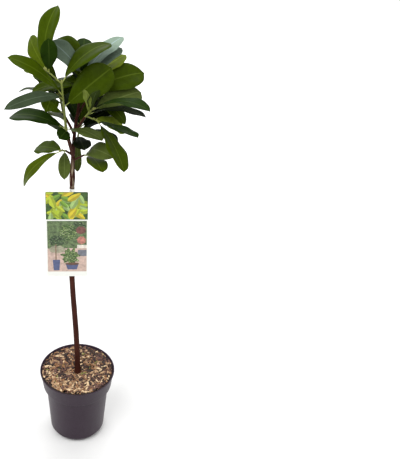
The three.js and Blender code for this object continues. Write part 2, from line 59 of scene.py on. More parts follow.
# %% A mesh from arrays
def put_mesh(name, points, faces, materials, slots=None, uv=None, crease=None):
    """Points in millimetres become vertices in metres. slots gives the material of each face, uv one pair for
    each point, and crease the angle in degrees past which an edge stays sharp."""
    mesh = bpy.data.meshes.new(name)
    mesh.vertices.add(len(points))
    mesh.vertices.foreach_set("co", (np.asarray(points, float) * MM).ravel())
    corners = np.concatenate([f.ravel() for f in faces])
    totals = np.concatenate([np.full(len(f), f.shape[1]) for f in faces])
    mesh.loops.add(len(corners))
    mesh.loops.foreach_set("vertex_index", corners.astype(np.int32))
    mesh.polygons.add(len(totals))
    mesh.polygons.foreach_set("loop_start", (np.cumsum(totals) - totals).astype(np.int32))
    for material in materials:
        mesh.materials.append(material)
    if slots is not None:
        mesh.polygons.foreach_set("material_index", np.asarray(slots, np.int32))
    if uv is not None:
        layer = mesh.uv_layers.new(name="blade")
        layer.data.foreach_set("uv", np.asarray(uv, float)[corners].ravel())
    mesh.update()
    mesh.validate()
    mesh.shade_smooth()
    if crease is not None:
        mesh.set_sharp_from_angle(angle=math.radians(crease))
    piece = bpy.data.objects.new(name, mesh)
    bpy.context.scene.collection.objects.link(piece)
    return piece


def band_faces(rows, columns, closed=True):
    """Quads between neighbouring rows of points. Point (row, column) has index row times columns plus column,
    and in a closed band the last column joins the first."""
    row = np.arange(rows - 1)[:, None]
    column = np.arange(columns if closed else columns - 1)[None, :]
    a = row * columns + column
    b = row * columns + (column + 1) % columns
    return np.stack([a, b, b + columns, a + columns], -1).reshape(-1, 4)


def lid(first, count, turned=False):
    """One face over a ring of points."""
    ring = first + np.arange(count)
    return (ring[::-1] if turned else ring)[None, :]


def ride(piece, slot, *nodes):
    """The piece stands on the one body of the plant and stands for the nodes, which are hidden. The slot is
    not used.
    """
    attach(piece, "root")
    if nodes:
        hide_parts(*nodes)


# %% [markdown]
# Materials are built from a Principled shader. What is the same all over a surface is set on its sockets.
# What changes over the surface, such as blotches and grain, comes from a group of nodes that several
# materials share: each places it once with values of its own. An image could give the same blotches, but it
# would have to be unwrapped onto every leaf, and a noise in Object coordinates fits each piece as it is.


# %% Small helpers for materials
def plain(name, colour, roughness, **sockets):
    """A material with one Principled shader and these values on its sockets."""
    material = bpy.data.materials.new(name)
    material.use_nodes = True
    shader = material.node_tree.nodes["Principled BSDF"]
    shader.inputs["Base Color"].default_value = (*colour, 1)
    shader.inputs["Roughness"].default_value = roughness
    for socket, value in sockets.items():
        shader.inputs[socket.replace("_", " ")].default_value = value
    return material


def add_node(tree, kind, values=None, **settings):
    """A node with its settings. Each value goes to the input of that name or number: a socket is linked to
    it, and anything else is set on it."""
    node = tree.nodes.new(kind)
    for key, value in settings.items():
        setattr(node, key, value)
    for place, value in (values or {}).items():
        if isinstance(value, bpy.types.NodeSocket):
            tree.links.new(value, node.inputs[place])
        else:
            node.inputs[place].default_value = value
    return node


def math_node(tree, operation, *terms):
    """The result of one sum, whose terms are sockets or numbers."""
    return add_node(tree, "ShaderNodeMath", dict(enumerate(terms)), operation=operation).outputs[0]


def fade(tree, value, start, end, first=0.0, last=1.0):
    """first up to the start, last from the end on, and a straight line between them."""
    ends = {"Value": value, "From Min": start, "From Max": end, "To Min": first, "To Max": last}
    return add_node(tree, "ShaderNodeMapRange", ends).outputs["Result"]


def feed(tree, socket, name):
    """Links a socket to the Principled shader's input of that name."""
    tree.links.new(socket, tree.nodes["Principled BSDF"].inputs[name])


# %% The shared group for blotches
BLOTCH_GAIN = 4.0


def make_blotches():
    """Colour = base times (1 + gain times spread times (noise - 0.5)), the noise stretched by a vector."""
    group = bpy.data.node_groups.new("natural blotches", "ShaderNodeTree")
    sockets = [
        ("Base", "INPUT", "Color"),
        ("Stretch", "INPUT", "Vector"),
        ("Scale", "INPUT", "Float"),
        ("Spread", "INPUT", "Float"),
        ("Colour", "OUTPUT", "Color"),
        ("Mask", "OUTPUT", "Float"),
    ]
    for name, way, kind in sockets:
        group.interface.new_socket(name, in_out=way, socket_type="NodeSocket" + kind)
    given = add_node(group, "NodeGroupInput").outputs
    place = add_node(group, "ShaderNodeTexCoord").outputs["Object"]
    terms = {0: place, 1: given["Stretch"]}
    stretched = add_node(group, "ShaderNodeVectorMath", terms, operation="MULTIPLY").outputs[0]
    grain = {"Vector": stretched, "Scale": given["Scale"], "Detail": 4.0, "Roughness": 0.6}
    noise = add_node(group, "ShaderNodeTexNoise", grain).outputs["Fac"]
    centred = math_node(group, "SUBTRACT", noise, 0.5)
    scaled = math_node(group, "MULTIPLY", centred, given["Spread"])
    factor = math_node(group, "MULTIPLY_ADD", scaled, BLOTCH_GAIN, 1.0)
    terms = {0: given["Base"], "Scale": factor}
    tint = add_node(group, "ShaderNodeVectorMath", terms, operation="SCALE").outputs[0]
    add_node(group, "NodeGroupOutput", {"Colour": tint, "Mask": noise})
    return group


BLOTCHES = make_blotches()


def blotched(material, scale, spread, stretch=(1, 1, 1), bump=0.0, bump_scale=None):
    """Sends the base colour through the blotches. A bump is that many millimetres high, from a noise of its
    own scale. The scales are in blotches per metre or so."""
    tree = material.node_tree
    base = tree.nodes["Principled BSDF"].inputs["Base Color"].default_value
    values = {"Base": base, "Stretch": stretch, "Scale": scale, "Spread": spread}
    group = add_node(tree, "ShaderNodeGroup", values, node_tree=BLOTCHES)
    feed(tree, group.outputs["Colour"], "Base Color")
    if bump:
        values = {"Stretch": stretch, "Scale": bump_scale or scale}
        grain = add_node(tree, "ShaderNodeGroup", values, node_tree=BLOTCHES)
        values = {"Strength": 1.0, "Distance": bump * MM, "Height": grain.outputs["Mask"]}
        feed(tree, add_node(tree, "ShaderNodeBump", values).outputs["Normal"], "Normal")
    return material


def lay_over(material, colour, mask):
    """Mixes a colour into the blotched base colour, all of it where the mask is 1."""
    tree = material.node_tree
    group = next(node for node in tree.nodes if node.type == "GROUP")
    values = {"A": group.outputs["Colour"], "B": (*colour, 1), "Factor": mask}
    feed(tree, add_node(tree, "ShaderNodeMix", values, data_type="RGBA").outputs["Result"], "Base Color")


print("shared group:", BLOTCHES.name, "with", len(BLOTCHES.nodes), "nodes")

# %% [markdown]
# The pot is thin injection-moulded plastic: a tapering body, a shoulder, and a wide band up to a small lip.
# It could be modelled from a cylinder with loops and bevels. Here one profile is carried round an axis,
# because each of its corners is then one size that can be measured. The corners are rounded by cutting each
# one off and setting an arc in its place, because moulded plastic has no knife edges.

# %% Sizes of the pot
POT_LOW, POT_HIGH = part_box("pot")
POT_HEIGHT = POT_HIGH.z / MM
LIP_RADIUS = POT_HIGH.x / MM
LIP_DEPTH = 4
BAND_TOP = (84.3, POT_HEIGHT - LIP_DEPTH)
BAND_FOOT = (79.4, 142)
BODY_TOP = (71.8, 135)
BODY_FOOT = (63.2, 13)
UNDERSIDE_RADIUS = 52
UNDERSIDE_CHAMFER = (6.5, 4.5)
LIP_RISE = 1.2
WALL = 1.8
CENTRE_RADIUS = 0.4
CORNER_CUT = 1.0
POT_SIDES = 160
print("the pot is", round(2 * LIP_RADIUS), "mm across its lip and", round(POT_HEIGHT), "mm high")


def rounded(corners, cut, steps=5):
    """Each inner corner becomes a quadratic arc between points that lie cut millimetres before and after it,
    or a little under half a side where that is shorter: (1-t)^2 a + 2t(1-t) corner + t^2 b."""
    t = np.linspace(0, 1, steps)[:, None]
    points = [np.array(corners[0], float)]
    for before, corner, after in zip(corners, corners[1:], corners[2:]):
        before, corner, after = (np.array(p, float) for p in (before, corner, after))
        to_before = before - corner
        to_after = after - corner
        room = min(cut, 0.45 * np.hypot(*to_before), 0.45 * np.hypot(*to_after))
        a = corner + to_before / np.hypot(*to_before) * room
        b = corner + to_after / np.hypot(*to_after) * room
        points.extend((1 - t) ** 2 * a + 2 * t * (1 - t) * corner + t**2 * b)
    points.append(np.array(corners[-1], float))
    return np.array(points)


def turned(profile, sides):
    """Point (row, column) is (r cos a, r sin a, z) with a = 2 pi column / sides."""
    angle = 2 * np.pi * np.arange(sides) / sides
    radius, height = np.asarray(profile, float).T
    x = radius[:, None] * np.cos(angle)
    y = radius[:, None] * np.sin(angle)
    z = np.broadcast_to(height[:, None], x.shape)
    return np.stack([x, y, z], -1).reshape(-1, 3)


# %% Make the pot
OUTER_CORNERS = [BODY_FOOT, BODY_TOP, BAND_FOOT, BAND_TOP]
INNER_CORNERS = [(radius - WALL, height) for radius, height in reversed(OUTER_CORNERS)]
POT_CORNERS = [
    (CENTRE_RADIUS, 0),
    (UNDERSIDE_RADIUS, 0),
    (UNDERSIDE_RADIUS + UNDERSIDE_CHAMFER[0], UNDERSIDE_CHAMFER[1]),
    *OUTER_CORNERS,
    (LIP_RADIUS, BAND_TOP[1] + LIP_RISE),
    (LIP_RADIUS, POT_HEIGHT),
    (LIP_RADIUS - WALL, POT_HEIGHT),
    *INNER_CORNERS,
    (UNDERSIDE_RADIUS, WALL),
    (CENTRE_RADIUS, WALL),
]

pot_plastic = plain("dark purple-grey plastic", (0.029, 0.0165, 0.028), 0.42, Specular_IOR_Level=0.2)
blotched(pot_plastic, scale=26.0, spread=0.10, bump=0.25, bump_scale=120.0)


def make_pot():
    """The rounded profile carried round, with a small lid over each end of it."""
    profile = rounded(POT_CORNERS, CORNER_CUT)
    points = turned(profile, POT_SIDES)
    last_row = (len(profile) - 1) * POT_SIDES
    lids = [lid(0, POT_SIDES, turned=True), lid(last_row, POT_SIDES)]
    faces = [band_faces(len(profile), POT_SIDES), *lids]
    pot = put_mesh("pot_shell", points, faces, [pot_plastic], crease=50)
    ride(pot, "pot", "pot")
    return pot


pot = make_pot()
print("pot:", len(pot.data.polygons), "faces")

# %% [markdown]
# The compost is covered with bark and wood chips. Their tones are partly painted light: pale chips are dealt
# out more on the heaped side, which faces the key lamp, and towards the wall, and dark chips more on the far
# side and near the stem. A picture on a disc would look flat at the rim, so they are real. One surface with
# small random hills makes the dark ground, and nearly two thousand loose chips lie on it. A chip is a bent
# strip with slanting ends, and each one is that same strip scaled, turned and tilted by arrays of random
# numbers from a fixed seed.

# %% Sizes of the mulch
SOIL_HEIGHT = 172.5
MULCH_EDGE_HEIGHT = 178
MULCH_DISH_RADIUS = 12
MULCH_RADIUS = 82.1
COMPOST_WALL = [(76.6, BAND_FOOT[1]), (68.9, BODY_TOP[1]), (60.8, BODY_FOOT[1])]
HEAP = 3.2
HEAP_HEADING = math.radians(238)
GROUND_LIFT = 0.6
HILL_SIZE = 11
HILL_HEIGHT = 0.7
CHIPS = 1900
CHIP_STATIONS = 5
CHIP_POINTS = 4 * CHIP_STATIONS
CHIP_SIDE_FACES = 4 * (CHIP_STATIONS - 1)
CHIP_LENGTHS = (6, 24)
CHIP_WIDTHS = (1.6, 5.0)
CHIP_THICKNESSES = (0.6, 1.8)
CHIP_LIFTS = (0.3, 3.4)
CHIP_TILT = 0.22
CHIP_ROLL = 0.3
CHIP_ROUGHNESS = 0.12
WALL_CLEARANCE = 1.5
STEM_CLEARANCE = 9
HIGHEST_CHIP = POT_HEIGHT + 0.8

# Each tone: its colour, its share of the chips where the painted light is low, and its share where it is
# high.
CHIP_TONES = {
    "tan chips": ((0.33, 0.205, 0.11), 0.13, 0.34),
    "orange brown chips": ((0.21, 0.10, 0.042), 0.15, 0.20),
    "dark chips": ((0.022, 0.011, 0.008), 0.37, 0.12),
    "pale straw chips": ((0.58, 0.42, 0.25), 0.05, 0.18),
    "red brown chips": ((0.095, 0.043, 0.030), 0.285, 0.145),
    "mossy chips": ((0.15, 0.15, 0.03), 0.015, 0.015),
}


def hills(x, y, seed, size, count=14):
    """A sum of waves in random directions: sine(k . (x, y) + phase) / count^0.5."""
    dice = np.random.default_rng(seed)
    angle = dice.uniform(0, 2 * np.pi, count)
    wave = 2 * np.pi / (size * dice.uniform(0.6, 1.8, count))
    phase = dice.uniform(0, 2 * np.pi, count)
    place = x[..., None] * np.cos(angle) + y[..., None] * np.sin(angle)
    return np.sin(place * wave + phase).sum(-1) / math.sqrt(count)


def heap_share(x, y):
    """How far a place lies to the heaped side: 1 at the wall there, -1 at the wall opposite."""
    return (x * math.cos(HEAP_HEADING) + y * math.sin(HEAP_HEADING)) / MULCH_RADIUS


def mulch_height(x, y):
    """The ground: level near the stem, higher at the wall and most of all on one side, with small hills that
    grow calm towards the wall."""
    reach = np.clip((np.hypot(x, y) - MULCH_DISH_RADIUS) / (MULCH_RADIUS - MULCH_DISH_RADIUS), 0, 1)
    rise = (MULCH_EDGE_HEIGHT - SOIL_HEIGHT) * reach + HEAP * reach * np.clip(heap_share(x, y), 0, 1)
    calm = 1 - 0.7 * reach**4
    return SOIL_HEIGHT + GROUND_LIFT + rise + HILL_HEIGHT * hills(x, y, 3, HILL_SIZE) * calm


def painted_chip_light(x, y):
    """The painted light of the chips at a place, from 0 to 1: more on the heaped side, which faces the key
    lamp, and towards the wall.
    """
    reach = np.hypot(x, y) / MULCH_RADIUS
    return np.clip(0.3 + 0.7 * heap_share(x, y) + 0.4 * (reach - 0.6), 0, 1)


print("light of the chips in front and behind:", *painted_chip_light(np.zeros(2), np.array([-70.0, 70.0])).round(2))

# %% Make the ground
compost_brown = plain("dark compost", (0.018, 0.010, 0.007), 0.95)
blotched(compost_brown, scale=160.0, spread=0.5, bump=1.2, bump_scale=420.0)


def make_ground():
    """Rings from the middle to the wall at the ground's height, then down inside the wall to a flat base."""
    rows, sides = 46, 120
    radius = MULCH_RADIUS * np.linspace(0.01, 1, rows)
    points = turned(np.stack([radius, np.zeros(rows)], -1), sides)
    points[:, 2] = mulch_height(points[:, 0], points[:, 1])
    points = np.concatenate([points, turned(COMPOST_WALL, sides)])
    rings = rows + len(COMPOST_WALL)
    faces = [band_faces(rings, sides)[:, ::-1], lid(0, sides), lid((rings - 1) * sides, sides, turned=True)]
    ground = put_mesh("compost", points, faces, [compost_brown])
    ride(ground, "mulch", "mulch")
    return ground


ground = make_ground()
print("compost:", len(ground.data.polygons), "faces")

# %% Make the chips
chip_finishes = []
for tone, (colour, *_) in CHIP_TONES.items():
    finish = plain(tone, colour, 0.85)
    chip_finishes.append(blotched(finish, 240.0, 0.34, stretch=(1, 2.2, 1.5), bump=0.3, bump_scale=900.0))


def chip_shape():
    """A strip of five stations by four corners: x along it, shorter on its upper side so that its ends slant,
    y narrower towards the ends by 0.35 x^4, and z lifted in the middle by 0.9 (1 - x^2)."""
    along = np.linspace(-1, 1, CHIP_STATIONS)
    sides = np.array([(1, 1), (-1, 1), (-1, -1), (1, -1)], float)
    x = along[:, None] * (1 - 0.12 * sides[:, 1])[None, :]
    y = (1 - 0.35 * along[:, None] ** 4) * sides[None, :, 0]
    z = sides[None, :, 1] + 0.9 * (1 - along[:, None] ** 2)
    return np.stack([x, y, z + 0 * x], -1).reshape(-1, 3)


def spin(a, b, angle):
    """Two coordinates of each chip's points turned by its angle: (a cos - b sin, a sin + b cos)."""
    cos, sin = np.cos(angle)[:, None], np.sin(angle)[:, None]
    return a * cos - b * sin, a * sin + b * cos


def chip_faces(count):
    """The faces of one chip, four sides between five stations and two ends, for each of count chips."""
    first = CHIP_POINTS * np.arange(count)[:, None, None]
    quads = (band_faces(CHIP_STATIONS, 4)[None] + first).reshape(-1, 4)
    ends = (np.array([[3, 2, 1, 0], [16, 17, 18, 19]])[None] + first).reshape(-1, 4)
    return [quads, ends]


def make_chips():
    """Place = turn about Z by heading, after a tilt about Y and a roll about X, of the scaled strip."""
    dice = np.random.default_rng(41)
    reach = np.sqrt(dice.uniform((STEM_CLEARANCE / MULCH_RADIUS) ** 2, 1, CHIPS))
    around = dice.uniform(0, 2 * np.pi, CHIPS)
    sizes = (CHIP_LENGTHS, CHIP_WIDTHS, CHIP_THICKNESSES)
    half = np.stack([dice.uniform(*size, CHIPS) / 2 for size in sizes], -1)
    half[:, 0] = half[:, 0] * dice.uniform(0.5, 1, CHIPS)
    x = np.cos(around) * reach * (MULCH_RADIUS - WALL_CLEARANCE)
    y = np.sin(around) * reach * (MULCH_RADIUS - WALL_CLEARANCE)
    z = mulch_height(x, y) + dice.uniform(*CHIP_LIFTS, CHIPS)
    heading = dice.uniform(-np.pi, np.pi, CHIPS)
    tilt = dice.normal(0, CHIP_TILT, CHIPS)
    roll = dice.normal(0, CHIP_ROLL, CHIPS)
    strip = chip_shape()[None] * half[:, None, :]
    strip = strip + CHIP_ROUGHNESS * half[:, None, 1:2] * dice.uniform(-1, 1, (CHIPS, CHIP_POINTS, 3))
    px, py, pz = strip[..., 0], strip[..., 1], strip[..., 2]
    py, pz = spin(py, pz, roll)
    pz, px = spin(pz, px, tilt)
    px, py = spin(px, py, heading)
    points = np.stack([px + x[:, None], py + y[:, None], np.minimum(pz + z[:, None], HIGHEST_CHIP)], -1)
    inside = np.hypot(points[..., 0], points[..., 1]).max(1) < MULCH_RADIUS
    points = points[inside]
    # Each chip's tone is random but weighted by the painted light: pale chips where it is high, dark chips
    # where it is low.
    shares = np.array([row[1:] for row in CHIP_TONES.values()])
    light = painted_chip_light(x, y)[inside, None]
    steps = np.cumsum(shares[:, 0] * (1 - light) + shares[:, 1] * light, axis=1)
    tone = (dice.random(len(points))[:, None] > steps[:, :-1]).sum(1)
    slots = np.concatenate([np.repeat(tone, CHIP_SIDE_FACES), np.repeat(tone, 2)])
    faces = chip_faces(len(points))
    chips = put_mesh("bark_chips", points.reshape(-1, 3), faces, chip_finishes, slots, crease=35)
    ride(chips, "mulch")
    return chips, len(points)


chips, chip_count = make_chips()
print("mulch:", chip_count, "chips,", len(chips.data.polygons), "faces")

# %% [markdown]
# The stem leans and bends a little, and is swollen at the soil and at the graft. A chain of bent cylinders
# would show its joints. Here it is one tube along a centripetal Catmull-Rom spline, which passes through its
# places without loops. Each bough is one limb on a circular arc, thickest where it leaves the stem.
# Bark relief is added to the radius: fine upright furrows, a few rings, and small scars of old leaves.

# %% Sizes of the stem and the boughs
STEM_AXIS = np.array([
    (0, 0, SOIL_HEIGHT),
    (0, 0, 212),
    (-3, 0, 296),
    (-11.6, 0, 459),
    (-12.2, 0, 611),
    (-10.4, 0, 710),
    (-8.5, 0, 772),
    (-4, 2, 833),
    (2, 8, 870),
    (4, 12, 893),
])
STEM_FOOT_RADIUS = 6.4
STEM_TAPER = 0.002
TAPER_START = 611
STEM_TAPER_ABOVE = 0.0085
FLARE = 2.6
FLARE_HEIGHT = 9
GRAFT_HEIGHT = 716
GRAFT_SWELL = 1.5
GRAFT_REACH = 17

BOUGHS = {
    "bough_left": dict(start=(-8.7, 0, 768), heading=218, rise=75, length=62, radii=(3.9, 3.2)),
    "bough_right": dict(start=(-4.5, 1, 822), heading=318, rise=58, length=50, radii=(2.9, 2.3)),
    "bough_low_left": dict(start=(-8.8, 0, 768), heading=200, rise=42, length=20, radii=(2.4, 2.0)),
    "bough_low_right": dict(start=(-9, 0, 756), heading=344, rise=36, length=28, radii=(2.2, 1.8)),
    "bough_back_left": dict(start=(-5.5, 1, 815), heading=140, rise=52, length=46, radii=(2.8, 2.2)),
    "bough_back_right": dict(start=(-1, 5, 852), heading=50, rise=42, length=34, radii=(2.6, 2.2)),
    "bough_low_back": dict(start=(-8.5, 0, 778), heading=65, rise=40, length=28, radii=(2.4, 2.0)),
}
print("places on the stem:", len(STEM_AXIS), "and boughs:", len(BOUGHS))


def stem_curve(t):
    """Centripetal Catmull-Rom: between places 1 and 2 a cubic with slopes from the neighbours, whose knots
    are spaced by the fourth root of the squared distances."""
    axis = np.concatenate([[2 * STEM_AXIS[0] - STEM_AXIS[1]], STEM_AXIS, [2 * STEM_AXIS[-1] - STEM_AXIS[-2]]])
    place = np.clip(np.asarray(t, float), 0, 1) * (len(STEM_AXIS) - 1)
    step = np.minimum(place.astype(int), len(STEM_AXIS) - 2)
    w = (place - step)[:, None]
    p0, p1, p2, p3 = (axis[step + k] for k in range(4))
    d0, d1, d2 = (((b - a) ** 2).sum(1, keepdims=True) ** 0.25 for a, b in ((p0, p1), (p1, p2), (p2, p3)))
    slope1 = d1 * ((p1 - p0) / d0 - (p2 - p0) / (d0 + d1) + (p2 - p1) / d1)
    slope2 = d1 * ((p2 - p1) / d1 - (p3 - p1) / (d1 + d2) + (p3 - p2) / d2)
    cubic = 2 * p1 - 2 * p2 + slope1 + slope2
    square = -3 * p1 + 3 * p2 - 2 * slope1 - slope2
    return p1 + slope1 * w + square * w**2 + cubic * w**3


def stem_radius(height):
    """A taper, the flare at the soil and the swollen graft."""
    taper = STEM_TAPER * (height - SOIL_HEIGHT) + STEM_TAPER_ABOVE * np.maximum(0, height - TAPER_START)
    flare = FLARE * np.exp((SOIL_HEIGHT - height) / FLARE_HEIGHT)
    graft = GRAFT_SWELL * np.exp(-(((height - GRAFT_HEIGHT) / GRAFT_REACH) ** 2))
    return STEM_FOOT_RADIUS - taper + flare + graft


# %% Bearings and arcs, shared by boughs, twigs and leaves
def bearings(piece):
    """Unit vectors along the piece, to its left, and out of its upper face, from heading, rise and roll."""
    h, r, q = (math.radians(piece.get(key, 0)) for key in ("heading", "rise", "roll"))
    along = np.array([math.cos(r) * math.cos(h), math.cos(r) * math.sin(h), math.sin(r)])
    level = np.array([-math.sin(h), math.cos(h), 0])
    upper = np.cross(along, level)
    left = level * math.cos(q) + upper * math.sin(q)
    face = upper * math.cos(q) - level * math.sin(q)
    return along, left, face


def arc(piece, share):
    """Points at shares of a circular arc over the piece's chord, and the arc's own face there."""
    along, left, face = bearings(piece)
    bow = math.radians(piece.get("bow", 0))
    share = np.atleast_1d(np.asarray(share, float))[:, None]
    start = np.array(piece["start"], float)
    if bow == 0:
        return start + piece["length"] * share * along, left, np.broadcast_to(face, (len(share), 3))
    angle = bow * (0.5 - share)
    run = piece["length"] * (math.sin(bow / 2) - np.sin(angle)) / bow
    lift = piece["length"] * (np.cos(angle) - math.cos(bow / 2)) / bow
    return start + run * along + lift * face, left, np.cos(angle) * face - np.sin(angle) * along


# %% Bark relief
# Each scar: its share of the length, and its angle round the limb.
LEAF_SCARS = [
    (0.31, 0.5),
    (0.37, 3.6),
    (0.45, 5.4),
    (0.52, 1.9),
    (0.58, 4.4),
    (0.66, 0.2),
    (0.72, 2.9),
    (0.81, 5.0),
]
SCAR_LENGTH = 0.006
SCAR_ANGLE = 0.5
SCAR_RELIEF = 0.12
FURROW_RELIEF = 0.035 / 4
RING_SHARE = 0.8


def bark(length_share, angle, size, seed):
    """Millimetres to add to a radius: upright furrows, uneven rings, and the bumps of the scars, each bump
    exp(-(distance along / length)^2 - (distance round / angle)^2). All are shares of the limb's size."""
    furrows = hills(angle * size, length_share * 5.0, seed, 3.4, 10)
    rings = hills(length_share * 60.0, angle * 0.4, seed + 1, 4.0, 8)
    bumps = np.zeros_like(furrows)
    for at, around in LEAF_SCARS:
        apart = np.abs((angle - around + np.pi) % (2 * np.pi) - np.pi)
        bumps += np.exp(-(((length_share - at) / SCAR_LENGTH) ** 2) - (apart / SCAR_ANGLE) ** 2)
    return FURROW_RELIEF * size * (furrows + RING_SHARE * rings) + SCAR_RELIEF * size * bumps


def limb_points(centres, radii, sides, seed, ring_normal=None):
    """Rings square to the chord (or to ring_normal), each with its radius plus the bark's relief."""
    chord = centres[-1] - centres[0] if ring_normal is None else np.asarray(ring_normal, float)
    chord = chord / np.linalg.norm(chord)
    guide = np.array([1.0, 0, 0]) if abs(chord[2]) > 0.9 else np.array([0, 0, 1.0])
    across = guide - guide @ chord * chord
    across /= np.linalg.norm(across)
    over = np.cross(chord, across)
    angle = 2 * np.pi * np.arange(sides) / sides
    share = np.linspace(0, 1, len(centres))
    extra = bark(*np.broadcast_arrays(share[:, None], angle[None, :]), radii.mean(), seed)
    reach = radii[:, None] + extra
    ring = np.cos(angle)[None, :, None] * across + np.sin(angle)[None, :, None] * over
    return (centres[:, None, :] + reach[..., None] * ring).reshape(-1, 3)


print("stem radius at the foot:", round(float(stem_radius(SOIL_HEIGHT)), 1), "mm")

# %% Finishes of the bark
STREAK_LOW = 0.688
STREAK_HIGH = 0.765
STREAK_FADES = (0.012, 0.03)


def pale_streaks(material, colour, low, high):
    """Streaks of pale bark between two heights in metres: a noise stretched along the stem, cut off below a
    level and faded out at both ends."""
    tree = material.node_tree
    place = add_node(tree, "ShaderNodeTexCoord").outputs["Object"]
    height = add_node(tree, "ShaderNodeSeparateXYZ", {0: place}).outputs["Z"]
    stretch = add_node(tree, "ShaderNodeMapping", {"Vector": place, "Scale": (1.0, 1.0, 0.12)})
    values = {"Vector": stretch.outputs["Vector"], "Scale": 260.0, "Detail": 2.0}
    noise = add_node(tree, "ShaderNodeTexNoise", values).outputs["Fac"]
    rise = fade(tree, height, low, low + STREAK_FADES[0])
    fall = fade(tree, height, high - STREAK_FADES[1], high, 1.0, 0.0)
    ends = math_node(tree, "MULTIPLY", rise, fall)
    lay_over(material, colour, math_node(tree, "MULTIPLY", ends, fade(tree, noise, 0.48, 0.60, 0.0, 0.85)))


stem_bark = plain("reddish brown bark", (0.040, 0.011, 0.007), 0.6, Specular_IOR_Level=0.06)
blotched(stem_bark, scale=60.0, spread=0.55, stretch=(1, 1, 0.22), bump=0.4, bump_scale=420.0)
pale_streaks(stem_bark, (0.36, 0.29, 0.20), STREAK_LOW, STREAK_HIGH)
bough_bark = plain("young bark", (0.055, 0.018, 0.011), 0.5, Specular_IOR_Level=0.1)
blotched(bough_bark, scale=90.0, spread=0.4, stretch=(1, 1, 0.4), bump=0.25, bump_scale=500.0)
print("bark finishes:", stem_bark.name, "and", bough_bark.name)

# %% Make the stem and the boughs
STEM_ROWS = 420
STEM_SIDES = 36
STEM_LIFT = 0.3
BOUGH_ROWS = 40
BOUGH_SIDES = 20
BOUGH_SWELL = 0.5
SWELL_REACH = 0.16


def make_limb(name, centres, radii, sides, material, seed, ring_normal=None):
    """A tube of bark along the centres, closed with a lid at each end."""
    points = limb_points(centres, radii, sides, seed, ring_normal)
    rows = len(centres)
    faces = [band_faces(rows, sides), lid(0, sides, turned=True), lid((rows - 1) * sides, sides)]
    return put_mesh(name, points, faces, [material])


def make_stem():
    """Rows along the spline, closer together at the foot, whose cut face stands just clear of the compost."""
    centres = stem_curve(np.linspace(0, 1, STEM_ROWS) ** 1.1)
    radii = stem_radius(centres[:, 2])
    centres[0, 2] += STEM_LIFT
    piece = make_limb("stem_bark", centres, radii, STEM_SIDES, stem_bark, 11, ring_normal=(0, 0, 1))
    ride(piece, "stem", "stem")
    return piece


def make_bough(name, number):
    """Radius: a straight taper from foot to tip, plus swell times exp(-(share / reach)^2) at the foot."""
    bough = BOUGHS[name]
    share = np.linspace(0, 1, BOUGH_ROWS)
    centres = arc(bough, share)[0]
    foot, tip = bough["radii"]
    radii = foot + (tip - foot) * share + BOUGH_SWELL * np.exp(-((share / SWELL_REACH) ** 2))
    piece = make_limb(name + "_bark", centres, radii, BOUGH_SIDES, bough_bark, 30 + number)
    ride(piece, "bough", name)
    return piece


stem = make_stem()
for number, name in enumerate(BOUGHS):
    make_bough(name, number)
print("stem:", len(stem.data.polygons), "faces, and", len(BOUGHS), "boughs")
